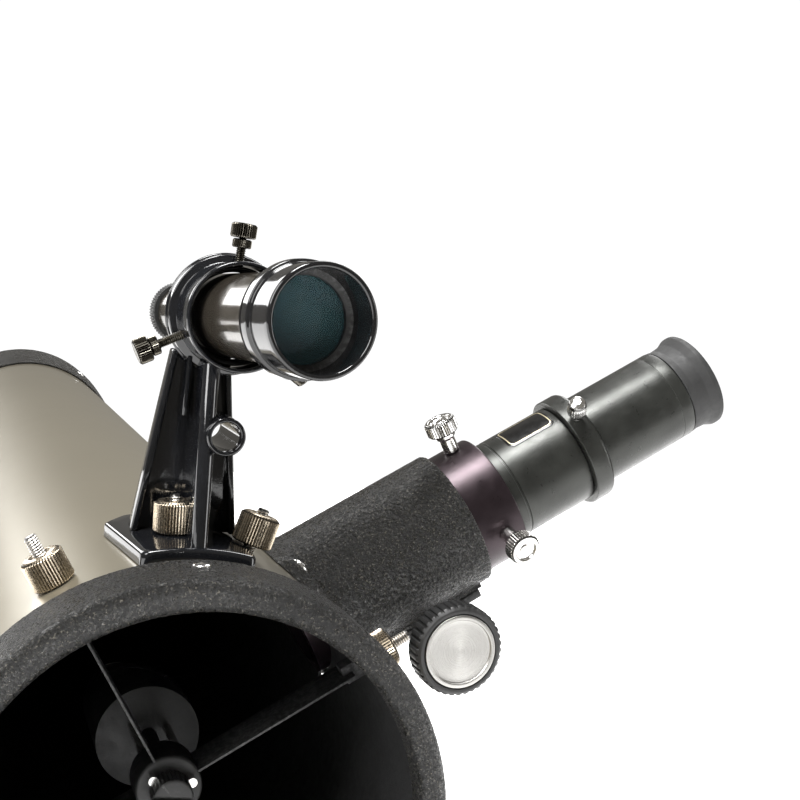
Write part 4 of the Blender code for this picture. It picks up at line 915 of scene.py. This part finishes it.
def build_housing():
    """Barrel and saddle flange in one casting, lofted from the flange's outline up to the barrel's bore."""
    sides = 360
    angles = 2 * math.pi * np.arange(sides) / sides
    circle = np.stack([np.cos(angles), np.sin(angles)], axis=1)
    half_x, half_y, corner = 33, 29, 8
    saddle, top, edge = TUBE_RADIUS + GAP, 74.6, 1.2

    def on_saddle(flat, radius):
        height = np.sqrt(np.maximum(radius**2 - flat[:, 1] ** 2, 0))
        return np.column_stack([flat, height])

    rings = []
    full = outline_ring(half_x, half_y, corner, angles)
    for radius in (saddle, (saddle + top - edge) / 2, top - edge):
        rings.append(on_saddle(full, radius))
    for step in range(1, 5):
        turn = QUARTER * step / 4
        inset = edge * (1 - math.cos(turn))
        flat = outline_ring(half_x - inset, half_y - inset, corner - inset, angles)
        rings.append(on_saddle(flat, top - edge + edge * math.sin(turn)))
    fillet = 3
    foot = circle * (HOUSING_RADIUS + fillet)
    inner = outline_ring(half_x - edge, half_y - edge, corner - edge, angles)
    for share in (0.25, 0.5, 0.75, 1.0):
        rings.append(on_saddle(inner * (1 - share) + foot * share, top))
    for step in range(1, 7):
        turn = QUARTER * step / 6
        flat = circle * (HOUSING_RADIUS + fillet * (1 - math.sin(turn)))
        raised = on_saddle(flat, top)
        raised[:, 2] += fillet * (1 - math.cos(turn))
        rings.append(raised)
    base = rings[-1][:, 2]
    round_end = 1.9
    wall_top = HOUSING_END - round_end
    for share in np.linspace(0, 1, 62)[1:]:
        ring = rings[-1].copy()
        ring[:, 2] = base * (1 - share) + wall_top * share
        rings.append(ring)
    lip = 0.35
    end_corners = [
        (HOUSING_RADIUS, wall_top, 0),
        (HOUSING_RADIUS, HOUSING_END, round_end - 0.2),
        (HOUSING_BORE, HOUSING_END, lip),
        (HOUSING_BORE, HOUSING_END - 6, 0),
    ]
    for radius, height in refined(rounded(end_corners, 5, closed=False), 0.8, closed=False)[1:]:
        rings.append(np.column_stack([circle * radius, np.full(sides, height)]))
    bore_foot = on_saddle(circle * HOUSING_BORE, saddle)
    rings.append(bore_foot)
    middle = on_saddle((circle * HOUSING_BORE + full) / 2, saddle)
    rings.append(middle)
    points, faces = loft(rings, joined=True)
    housing = new_piece("focuser_casting", points, faces, "wrinkle_paint", FOCUSER)
    subtract(housing, rack_way("rack_way"))
    roughen(housing, 1.1, 0.12)
    place_on(housing, ROOT, "wrinkle_paint", "focuser_housing")
    pad = block("pinion_pad", (-9, 24.5, 74), (9, 26.45, 131), FOCUSER, "wrinkle_paint", 0.3)
    subtract(pad, rack_way("pad_slot"))
    place_on(pad, ROOT, "wrinkle_paint")
    for number, (x, y) in enumerate(((28, 23), (-28, 23), (-28, -23), (28, -23)), 1):
        rise = math.sqrt(top**2 - y**2)
        origin = place_at(FOCUSER, x, y, rise - 0.3)
        normal = FOCUSER.to_3x3() @ Vector((0, y, rise))
        phillips_screw(f"flange_screw_{number}", axis_frame(origin, normal, (0, -1, 0)), 3.0, 1.5, ROOT)


def build_drawtube():
    corners = [
        (20.5, 62, 0.3), (24, 62, 0.5), (24, 152.3, 0.6), (16.15, 152.3, 0.4), (16.15, 138, 0),
        (20.5, 138, 0),
    ]
    drawtube = turned_piece("drawtube_turned", corners, 5, 4, FOCUSER, "plum_anodised", 160)
    place_on(drawtube, "drawtube_slide", "plum_anodised", "drawtube")
    for name in ("upper", "lower"):
        axis = joint_frame(f"drawtube_screw_turn_{name}", FOCUS_AXIS)
        corners = [
            (0, 16.6, 0), (2, 16.6, 0.3), (2, 24.3, 0), (3, 24.3, 0.2), (3, 29.4, 0.3), (3.9, 30.4, 0.3),
            (4.1, 32, 0.2), (5.4, 32, 0.3), (6, 32.6, 0.2), (6, 36.7, 0.2), (5.2, 37.5, 0.3),
            (4.3, 37.5, 0.3), (3.7, 36.4, 0.5), (2.1, 36.4, 0.3), (1.7, 36.9, 0.3), (0, 36.9, 0),
        ]
        grip = knurl(36, 0.35, 6)
        screw = turned_piece(f"drawtube_thumb_screw_{name}", corners, 4, 1.2, axis, "nickel_screw", 216, grip)
        place_on(screw, f"drawtube_screw_{name}", "bright_steel", f"drawtube_screw_{name}")


def build_pinion():
    """Two knobs, each with a fluted rim and a spun cap, and the cover over the pinion."""
    for name, direction in (("front", -1), ("rear", 1)):
        axis = axis_frame(PINION, (0, direction, 0), (1, 0, 0))
        radius = 16.3
        corners = [
            (2.8, 26, 0.3), (9, 26, 0.5), (10, 28, 1.0), (radius - 1.6, 29, 0.8), (radius, 30.4, 0.8),
            (radius, 38.1, 0.7), (radius - 1.5, 39.5, 0.6), (13.5, 39.5, 0.3), (13.3, 38.6, 0.2),
            (2.8, 38.6, 0),
        ]
        grip = flutes(38, 0.65, radius)
        knob = turned_piece(f"focus_knob_rim_{name}", corners, 4, 1.0, axis, "knob_rubber", 304, grip)
        place_on(knob, "pinion", "black_rubber", f"focus_knob_{name}")
        corners = [
            (0, 38.4, 0), (13.1, 38.4, 0), (13.1, 39.9, 0.3), (11.7, 39.9, 0.3), (11.2, 39.3, 0.3),
            (0, 39.2, 0),
        ]
        cap = turned_piece(f"knob_cap_{name}", corners, 4, 1.5, axis, "spun_aluminium", 128)
        place_on(cap, "pinion", "spun_aluminium")
    build_pinion_cover()


def build_pinion_cover():
    """A plate that spans the pinion with a rounded hump, and the two screws that hold it."""
    spot = axis_frame(PINION, (0, -1, 0), FOCUS_AXIS)
    inner, outer, hump = 3.4, 0.3, 8
    start = math.degrees(math.asin(outer / hump))
    profile = [(-22, inner), (23.5, inner), (23.5, outer)]
    profile += [(x, -y) for x, y in arc_points((0, 0), hump, -start, 180 + start, 28)]
    profile += [(-22, outer)]
    cover = prism("pinion_cover_cast", profile, -9, 9, spot, "black_matte", 0.5, 2)
    room = rod("pinion_room", 5.8, -3.5, 3.5, spot)
    mouth = block("pinion_mouth", (-5.8, -0.5, -3.5), (5.8, 1.5 * inner, 3.5), spot, "black_matte", 0)
    bore = rod("shaft_way", 2.75, -12, 12, spot)
    subtract(cover, room, mouth, bore)
    place_on(cover, ROOT, "black_matte", "pinion_cover")
    for number, x in enumerate((-17, 17), 1):
        seat = axis_frame(place_at(spot, x, outer + 0.1, 0), spot.to_3x3() @ Vector((0, -1, 0)), (0, -1, 0))
        phillips_screw(f"cover_screw_{number}", seat, 2.4, 1.4, ROOT)


# ---------------------------------------------------------------- Barlow lens and eyepiece


def build_barlow():
    radius, start, end = 19.5, 152.6, 185.9
    band = 157.4
    groove = 0.35
    corners = [
        (14.3, 115, 0.3), (15.85, 115, 0.3), (15.85, start, 0), (radius, start, 0.5),
        (radius, band - 0.5, 0.15), (radius - groove, band - 0.3, 0), (radius - groove, band + 0.3, 0),
        (radius, band + 0.5, 0.15), (radius, end, 0.5), (16.15, end, 0.4), (16.15, 160, 0),
        (14.3, 160, 0),
    ]
    body = turned_piece("barlow_turned", corners, 4, 3, FOCUSER, "black_anodised", 160)
    place_on(body, "barlow", "black_anodised", "barlow_body")
    radius = 21.9
    corners = [
        (16.15, 186.2, 0.3), (radius - 0.3, 186.2, 0.2), (radius, 186.5, 0.3), (radius, 194.4, 1.6),
        (16.15, 194.4, 0.5),
    ]
    collar = turned_piece("barlow_collar_turned", corners, 4, 3, FOCUSER, "black_anodised", 160)
    place_on(collar, "barlow", "black_anodised", "barlow_collar")
    axis = joint_frame("barlow_screw_turn", FOCUS_AXIS)
    corners = [
        (0, 16.6, 0), (1.5, 16.6, 0.2), (1.5, 22.2, 0), (2.2, 22.2, 0.2), (1.9, 23.9, 0.4),
        (3.1, 24.6, 0.4), (3.6, 26.0, 0.5), (3.6, 29.6, 0.5), (3.1, 31.6, 1.2), (1.4, 32.4, 0.6),
        (0, 32.4, 0),
    ]
    grip = knurl(24, 0.22, 3.6)
    screw = turned_piece("collar_thumb_screw", corners, 5, 0.899, axis, "nickel_small", 144, grip)
    place_on(screw, "barlow_screw", "bright_steel", "barlow_screw")
    lens = [(0, 117.5)]
    lens += [(13.9 * s, 117.5 + 1.0 * s * s) for s in np.linspace(0.1, 1, 10)]
    lens += [(13.9 * s, 120 + 1.0 * s * s) for s in np.linspace(1, 0.1, 10)]
    glass = lathe("barlow_glass", [*lens, (0, 120)], FOCUSER, "lens_glass", 96)
    place_on(glass, "barlow", "lens_glass", "barlow_lens")
    build_label()


def build_label():
    """A black plate let into the Barlow's side, with a thin gold border and no lettering."""
    radius = 19.5
    low, high, first, last = 163.2, 183.8, -8.0, 34.0
    angles = 2 * math.pi * np.arange(120) / 120
    half_height = (high - low) / 2
    half_width = radius * math.radians(last - first) / 2
    centre = math.radians(first + last) / 2

    def ring(inset, lift):
        flat = outline_ring(half_height - inset, half_width - inset, 2.6 - inset * 0.6, angles)
        turn = centre + flat[:, 1] / radius
        reach = radius + lift
        return np.column_stack([reach * np.sin(turn), -reach * np.cos(turn), (low + high) / 2 + flat[:, 0]])

    plate = [ring(0, -0.2), ring(0, 0.06), ring(0.08, 0.12)]
    plate += [ring(0.08 + step, 0.12) for step in (0.6, 1.4, 3.0, 5.0, 6.4)]
    points, faces = loft(plate)
    points, faces = capped(points, faces, 120)
    piece = new_piece("barlow_label", points, faces, "label", FOCUSER)
    place_on(piece, "barlow", "label")
    border = [ring(0.9, 0.1), ring(0.9, 0.16), ring(1.3, 0.16), ring(1.3, 0.1)]
    points, faces = loft(border, joined=True)
    piece = new_piece("label_border", points, faces, "gold_print", FOCUSER)
    place_on(piece, "barlow", "label")


def build_eyepiece():
    corners = [
        (14.0, 173, 0.3), (15.85, 173, 0.6), (15.85, 184, 0.3), (15.4, 185, 0.3), (15.4, 191, 0.3),
        (15.85, 192, 0.3), (15.85, 194.4, 0), (14.0, 194.4, 0),
    ]
    barrel = turned_piece("eyepiece_barrel_chrome", corners, 3, 3, FOCUSER, "barrel_chrome", 128)
    place_on(barrel, "eyepiece", "nickel", "eyepiece_barrel")
    radius, start, groove, seat = 18, 194.7, 235.8, 9
    corners = [
        (seat, start, 0), (radius - 0.6, start, 0.3), (radius, start + 1.2, 0.4), (radius, 230.4, 0.1),
        (radius - 0.12, 230.5, 0), (radius - 0.12, 230.8, 0), (radius, 230.9, 0.1), (radius, groove, 0.4),
        (seat, groove, 0),
    ]
    body = turned_piece("eyepiece_turned", corners, 4, 3, FOCUSER, "black_anodised", 160)
    place_on(body, "eyepiece", "black_anodised", "eyepiece_body")
    lip = 248.9
    corners = [
        (seat, 236.1, 0), (radius - 0.1, 236.1, 0.4), (radius - 0.5, 239.0, 3), (radius - 0.1, 243.6, 2),
        (19.4, 246.8, 1.2), (19.4, lip, 0.7), (17.6, lip, 0.8), (14.8, 243.2, 2), (seat, 241.8, 0.5),
    ]
    cup = turned_piece("eyecup_rubber", corners, 6, 1.5, FOCUSER, "black_rubber", 160)
    place_on(cup, "eyepiece", "black_rubber", "eyecup")
    edge = 8.7
    lens = [(0, 234.1), (edge, 234.1), (edge, 239.1)]
    lens += [(edge * s, 240.1 - 1.0 * s * s) for s in np.linspace(0.98, 0.08, 12)]
    glass = lathe("eye_glass", [*lens, (0, 240.1)], FOCUSER, "lens_glass", 96)
    place_on(glass, "eyepiece", "lens_glass", "eye_lens")


# ---------------------------------------------------------------- finder


def build_finder():
    rim = -71.3
    seam = rim + 24.5
    inner = 13.4
    corners = [
        (13.3, rim, 0.9), (15, rim, 0.9), (15, rim + 12.9, 0.4), (15.9, rim + 13.5, 0.5),
        (15.9, rim + 17.2, 0.9), (15.2, rim + 20.8, 1.2), (13.9, rim + 24.0, 1.5), (13.4, seam, 0.2),
        (13.0, seam, 0), (13.0, rim + 19, 0), (inner, rim + 18.8, 0), (inner, rim + 2, 0.5),
    ]
    shield = turned_piece("dew_shield_turned", corners, 6, 2, FINDER, "finder_gloss", 192)
    place_on(shield, "finder", "finder_gloss", "dew_shield")
    vertex = rim + 13.4
    edge = inner - 0.3
    lens = [(edge * s, vertex + 1.6 * s * s) for s in np.linspace(0, 1, 24)]
    lens += [(edge, vertex + 4.6)]
    lens += [(edge * s, vertex + 5 - 0.4 * s * s) for s in np.linspace(0.96, 0, 24)]
    glass = lathe("finder_objective_glass", lens, FINDER, "lens_glass", 128)
    place_on(glass, "finder", "lens_glass", "finder_objective")
    corners = [
        (11.6, vertex - 0.4, 0.3), (inner - 0.02, vertex - 1.2, 0), (inner - 0.02, vertex + 1.2, 0),
        (11.6, vertex + 0.9, 0),
    ]
    keeper = turned_piece("objective_retainer", corners, 3, None, FINDER, "black_matte", 128)
    place_on(keeper, "finder", "black_matte")
    tail = 8.6
    corners = [
        (11.4, seam - 5, 0), (12.5, seam - 5, 0), (12.1, seam + 0.1, 0), (12.1, seam + 0.9, 0.2),
        (12.6, seam + 1.2, 0.4), (12.6, 12, 4), (tail, 26, 6), (tail, 51.9, 0.4), (tail - 1.2, 51.9, 0),
        (tail - 1.2, 25.5, 0), (11.4, 12, 0),
    ]
    tube = turned_piece("finder_tube_turned", corners, 6, 3, FINDER, "finder_bronze", 160)
    place_on(tube, "finder", "finder_bronze", "finder_tube")
    stop_outline = [(6.5, 8), (11.4, 8), (11.4, 9), (6.5, 9)]
    stop = lathe("finder_baffle", stop_outline, FINDER, "black_matte", 96)
    place_on(stop, "finder", "black_matte")
    build_finder_eye()
    corners = [
        (13.55, 48 - RING_STATION, 0.5), (14.7, 48 - RING_STATION, 0.5), (14.7, 52.9 - RING_STATION, 0.1),
        (12.9, 52.9 - RING_STATION, 0.1), (12.9, 52.3 - RING_STATION, 0.1),
        (13.9, 52.0 - RING_STATION, 0.3), (13.9, 50.4 - RING_STATION, 0.3),
        (13.55, 50.0 - RING_STATION, 0.3),
    ]
    seat = turned_piece("finder_seat_ring", corners, 4, None, RING, "black_rubber", 128)
    place_on(seat, "finder_seat", "black_rubber", "finder_o_ring")


def build_finder_eye():
    tail, radius = 8.6, 10.2
    corners = [
        (6, 52.3, 0.2), (radius - 0.5, 52.3, 0.2), (radius, 52.8, 0.2), (radius, 57.0, 0.2),
        (radius - 0.6, 57.6, 0.2), (tail, 58.0, 0.3), (tail, 61, 0.7), (6.6, 61, 0.5), (6, 58.6, 0.3),
    ]
    grip = knurl(64, 0.5, radius)
    ring = turned_piece("finder_focus_grip", corners, 3, 1.0, FINDER, "black_matte", 384, grip)
    place_on(ring, "finder_focuser", "black_matte", "finder_focus_ring")
    edge = 5.7
    lens = [(0, 54), (edge, 54), (edge, 57)]
    lens += [(edge * s, 58 - 1.0 * s * s) for s in np.linspace(0.98, 0.08, 10)]
    glass = lathe("finder_eye_glass", [*lens, (0, 58)], FINDER, "lens_glass", 96)
    place_on(glass, "finder_focuser", "lens_glass", "finder_eye_lens")


def build_finder_screws():
    """Threaded screws with knurled heads, each locked by a thin round nut on the bracket's ring."""
    for number, (head, lock) in enumerate(((25.5, 21.7), (28.2, 24.6), (28.2, 24.6)), 1):
        axis = joint_frame(f"finder_screw_turn_{number}")
        low, high, radius = head - 2.1, head + 2.2, 3.9
        corners = [
            (0, low, 0), (radius - 0.3, low, 0.2), (radius, low + 0.4, 0.15), (radius, high - 0.5, 0.15),
            (radius - 0.6, high, 0.2), (0, high, 0),
        ]
        name, grip = f"finder_screw_{number}", knurl(32, 0.4, radius)
        cap = turned_piece(f"finder_screw_head_{number}", corners, 3, 1.0, axis, "nickel_head", 192, grip)
        place_on(cap, name, "nickel", name)
        shank = threaded_rod(f"finder_screw_shank_{number}", 1.5, 13.5, low, axis, "thread_dark", 0.6, 30)
        place_on(shank, name, "nickel")
        radius = 2.9
        low = lock - 1.3
        corners = [
            (1.2, low, 0), (radius - 0.3, low, 0.2), (radius, low + 0.3, 0.15), (radius, low + 2.2, 0.15),
            (radius - 0.4, low + 2.6, 0.2), (1.2, low + 2.6, 0),
        ]
        grip = knurl(28, 0.25, radius)
        nut = turned_piece(f"finder_lock_nut_{number}", corners, 3, 0.8, axis, "nickel_lock", 168, grip)
        place_on(nut, name, "nickel")


# ---------------------------------------------------------------- finder bracket

# The bracket's foot is turned a little to the -X side of the tube's top.
BRACKET = turned(TUBE, math.radians(-2.6))


def build_bracket_ring():
    """The ring: a wide flange at the back, a smaller one in front and a waist between them."""
    corners = [
        (15, 38.7 - RING_STATION, 0.5), (16.2, 38.7 - RING_STATION, 0.6),
        (16.2, 42.0 - RING_STATION, 0.5), (15.6, 42.5 - RING_STATION, 0.2),
        (15.9, 57.4 - RING_STATION, 0.3), (18.1, 57.9 - RING_STATION, 0.5),
        (18.3, 59.7 - RING_STATION, 0.5), (17.5, 60.3 - RING_STATION, 0.3),
        (18.7, 60.9 - RING_STATION, 0.5), (18.7, 62.6 - RING_STATION, 0.5),
        (15, 62.6 - RING_STATION, 0.4),
    ]
    ring = turned_piece("bracket_ring", corners, 5, 2, RING, "bracket_plastic", 160)
    place_on(ring, ROOT, "bracket_plastic", "finder_bracket")


def build_bracket_foot():
    """Saddle plate that tapers to the front, with a rounded edge all round."""
    stations = (33, 83, 89)
    widths = (16.6, 21.4, 15)
    corners = [(widths[0], stations[0], 2.5), (widths[1], stations[1], 2), (widths[2], stations[2], 2)]
    corners += [(-x, y, r) for x, y, r in reversed(corners)]
    outline = np.array(refined(rounded(corners, 5), 1.2))
    centre = np.array([0, 58])
    inner, outer, edge = 70.4, 74.3, 0.9
    rings = []
    half = np.array([18, 28])
    for radius, inset in (
        (inner, 0), (inner + 1.4, 0), (outer - edge, 0), (outer - 0.6 * edge, 0.1 * edge),
        (outer - 0.2 * edge, 0.4 * edge), (outer, edge), (outer, 4), (outer, 9), (outer, 14),
    ):
        flat = centre + (outline - centre) * (1 - inset / half)
        height = np.sqrt(radius**2 - flat[:, 0] ** 2)
        rings.append(np.column_stack([flat[:, 0], -height, flat[:, 1]]))
    points, faces = loft(rings)
    points, faces = capped(points, faces, len(outline))
    foot = new_piece("bracket_foot", points, faces, "bracket_plastic", BRACKET)
    place_on(foot, ROOT, "bracket_plastic")


def build_bracket_web():
    """Tapered web with raised side rims, a rib and strut in front of it, and stiffeners under the ring."""
    low, high = 73.2, 129
    back = 68
    web = [(-16, -low), (16, -low), (8.6, -high), (-8.6, -high)]
    piece = prism("bracket_web", web, back - 3, back, BRACKET, "bracket_plastic", 0.4)
    place_on(piece, ROOT, "bracket_plastic")
    for name, side in (("left", -1), ("right", 1)):
        rim = [(16.2, -low), (14.0, -low), (6.9, -high), (8.9, -high)]
        rim = [(x * side, y) for x, y in rim]
        piece = prism(f"bracket_rim_{name}", rim, back - 6.2, back + 0.2, BRACKET, "bracket_plastic", 0.6)
        place_on(piece, ROOT, "bracket_plastic")
    edgewise = BRACKET @ Matrix.Rotation(-QUARTER, 4, "Y")
    rib = [(36, -low), (back - 1, -low), (back - 1, -126.5), (46, -126.5)]
    piece = prism("bracket_rib", rib, -1.5, 1.5, edgewise, "bracket_plastic", 0.4)
    place_on(piece, ROOT, "bracket_plastic")
    start = place_at(BRACKET, 0, -72.5, 36)
    end = place_at(BRACKET, 0, -126.5, 46.5)
    strut = rod_between("bracket_strut", start, end, 2.4, "bracket_plastic")
    place_on(strut, ROOT, "bracket_plastic")
    boss_height = 106.4
    boss = shifted(TUBE, 0.1, -boss_height)
    corners = [(4.3, 37.6, 0.5), (5.7, 37.6, 0.6), (5.9, 69.2, 0.5), (4.3, 69.2, 0.5)]
    shell = turned_piece("bracket_boss", corners, 5, 3, boss, "bracket_plastic", 96)
    for piece_name in ("bracket_rib", "bracket_strut", "bracket_web"):
        target = bpy.data.objects[piece_name]
        subtract(target, rod(f"boss_way_{piece_name}", 4.6, 25, 80, boss))
    place_on(shell, ROOT, "bracket_plastic")
    for number, x in enumerate((-4.4, 0.0, 4.4), 1):
        low, high = (x - 0.7, -127.5), (x + 0.7, -109.6)
        piece = block(
            f"bracket_stiffener_{number}", (*low, 57), (*high, back - 1), BRACKET, "bracket_plastic", 0.3
        )
        place_on(piece, ROOT, "bracket_plastic")


def rod_between(name, start, end, radius, material):
    length = (end - start).length / MM
    matrix = axis_frame(start, end - start, (1, 0, 0))
    corners = [(0, 0, 0), (radius, 0, 0.3), (radius, length, 0.3), (0, length, 0)]
    return lathe(name, rounded(corners, 3, closed=False), matrix, material, 64)


def build_bracket_nuts():
    for number in (1, 2):
        axis = joint_frame(f"bracket_nut_turn_{number}")
        name = f"bracket_thumb_nut_{number}"
        thumb_nut(name, shifted(axis, z=74.6), f"bracket_nut_{number}", f"bracket_nut_{number}")
        stud = threaded_rod(f"bracket_threaded_stud_{number}", 2, 66.5, 86, axis, "thread_steel")
        place_on(stud, ROOT, "bright_steel", f"bracket_stud_{number}")


# ---------------------------------------------------------------- saddles and dovetail bar


def build_saddles():
    """Curved blocks under the tube, each with a felt lining between two raised rims and a foot on the bar."""
    for name, station in (("front", 345), ("rear", 515)):
        place = shifted(TUBE, z=station)
        parts = (
            ("band", 70.9, 74.2, 8.2, "cast_grey", 0.4),
            ("felt", 70.5, 70.95, 7.6, "felt", 0.12),
            ("rim_a", 70.6, 75.0, (-10.0, -8.0), "cast_grey", 0.5),
            ("rim_b", 70.6, 75.0, (8.0, 10.0), "cast_grey", 0.5),
        )
        for part, inner, outer, reach, material, bevel in parts:
            low, high = reach if isinstance(reach, tuple) else (-reach, reach)
            outline = arc_points((0, 0), outer, 52, 128, 48)
            outline += arc_points((0, 0), inner, 128, 52, 48)
            span = (low, high, place, material, bevel)
            piece = prism(f"saddle_{part}_{name}", outline, *span)
            slot = "black_matte" if part == "felt" else "cast_grey"
            place_on(piece, ROOT, slot, *([f"tube_saddle_{name}"] if part == "band" else []))
        low, high = (-15, 73, -10), (15, 86.3, 10)
        place_on(block(f"saddle_foot_{name}", low, high, place, "cast_grey", 1.2), ROOT, "cast_grey")


def build_dovetail():
    """The bar with chamfered edges, and the two bolts let into its underside."""
    low, high = 320, 540
    top, bottom = 86.6, 101.6
    outline = [(-17.5, top), (17.5, top), (22, bottom), (-22, bottom)]
    bar = prism("dovetail_rail", outline, low, high, TUBE, "cast_grey", 1.0)
    wells = []
    for name, station in (("front", 345), ("rear", 515)):
        below = axis_frame(place_at(TUBE, 0, bottom, station), (0, 0, 1), (1, 0, 0))
        wells.append(rod(f"bolt_well_{name}", 6, -2, 7, below))
        corners = [(0, 1.2, 0), (4.9, 1.2, 0.6), (4.9, 6.9, 0), (0, 6.9, 0)]
        bolt = turned_piece(f"rail_bolt_{name}", corners, 4, None, below, "bright_steel", 48)
        hexagon = rod(f"bolt_socket_{name}", 2.9, 0, 4, below, sides=6)
        subtract(bolt, hexagon)
        place_on(bolt, ROOT, "bright_steel")
    subtract(bar, *wells)
    place_on(bar, ROOT, "cast_grey", "dovetail_bar")


def keep_cad_node(node, material):
    """The CAD node's shape stays and takes a finished material."""
    for slot in frame["nodes"][node].material_slots:
        slot.material = MATERIALS[material]


# ---------------------------------------------------------------- floor, lights and camera


def build_floor():
    material, tree, shader = start_material("studio_floor", roughness=0.9, emission_strength=0.8)
    tone = noise_value(tree, coordinates(tree), 0.004, 3.0)
    feed(shader, "Base Color", mix_colours(tree, tone, (0.93, 0.93, 0.93), (0.97, 0.97, 0.97)))
    shader.inputs["Emission Color"].default_value = (1, 1, 1, 1)
    MATERIALS["studio_floor"] = material
    low = CAD_BOX[0][2] / MM - 1
    half = 1100
    corners = [(-half, -half, low), (half, -half, low), (half, half, low), (-half, half, low)]
    floor = new_piece("studio_floor", corners, [(0, 1, 2, 3)], "studio_floor", Matrix.Identity(4))


def area_light(name, place, target, width, height, power):
    lamp = bpy.data.lights.new(name, "AREA")
    lamp.shape = "RECTANGLE"
    lamp.size = width
    lamp.size_y = height
    lamp.energy = power
    light = bpy.data.objects.new(name, lamp)
    bpy.context.scene.collection.objects.link(light)
    aim = (Vector(target) - Vector(place)).to_track_quat("-Z", "Y")
    light.matrix_world = Matrix.Translation(place) @ aim.to_matrix().to_4x4()
    light.visible_camera = False
    return light


def build_studio():
    """A white surround behind the object that lights it dimly and warmly, and soft boxes round it."""
    scene = bpy.context.scene
    world = bpy.data.worlds.new("studio")
    world.use_nodes = True
    tree = world.node_tree
    seen = tree.nodes["Background"]
    seen.inputs["Color"].default_value = (1, 1, 1, 1)
    seen.inputs["Strength"].default_value = 1.05
    ambient = add_node(tree, "ShaderNodeBackground", {"Color": (1.0, 0.95, 0.86, 1), "Strength": 0.22})
    ray = add_node(tree, "ShaderNodeLightPath").outputs["Is Camera Ray"]
    mixed = add_node(
        tree, "ShaderNodeMixShader", {0: ray, 1: ambient.outputs["Background"], 2: seen.outputs["Background"]}
    )
    tree.links.new(mixed.outputs["Shader"], tree.nodes["World Output"].inputs["Surface"])
    scene.world = world
    scene.view_settings.view_transform = "Standard"
    area_light("key", (-1.1, -1.0, 0.95), (0, -0.3, 0.15), 0.7, 0.8, 22)
    area_light("fill", (1.5, -0.9, 0.35), (0, -0.3, 0.15), 0.5, 1.0, 9)
    area_light("top", (-0.32, -0.5, 1.45), (0.1, -0.3, 0.15), 0.45, 0.45, 34)
    area_light("rim", (0.5, 0.5, 1.3), (0.05, -0.1, 0.1), 0.4, 1.2, 12)
    area_light("back", (-0.9, 1.4, 0.8), (0, 0, 0.1), 1.0, 0.8, 16)


def build_camera():
    lens = bpy.data.cameras.new("photo_camera")
    lens.lens = 57.67
    lens.sensor_width = 36
    lens.clip_start = 0.01
    camera = bpy.data.objects.new("photo_camera", lens)
    bpy.context.scene.collection.objects.link(camera)
    place = Vector((-0.0814, -0.75487, 0.24668))
    forward = Vector((0.34223, 0.93804, -0.0544))
    above = Vector((-0.12992, 0.10458, 0.98599))
    camera.matrix_world = axis_frame(place, -forward, forward.cross(above))
    bpy.context.scene.camera = camera


build_tube()
build_front_ring()
build_rear_ring()
build_primary()
build_collimation()
build_spider()
build_secondary()
build_housing()
build_drawtube()
build_pinion()
build_barlow()
build_eyepiece()
build_finder()
build_finder_screws()
build_bracket_ring()
build_bracket_foot()
build_bracket_web()
build_bracket_nuts()
build_saddles()
build_dovetail()
keep_cad_node("focus_rack", "bright_steel")
keep_cad_node("pinion_shaft", "bright_steel")
build_floor()
build_studio()
build_camera()
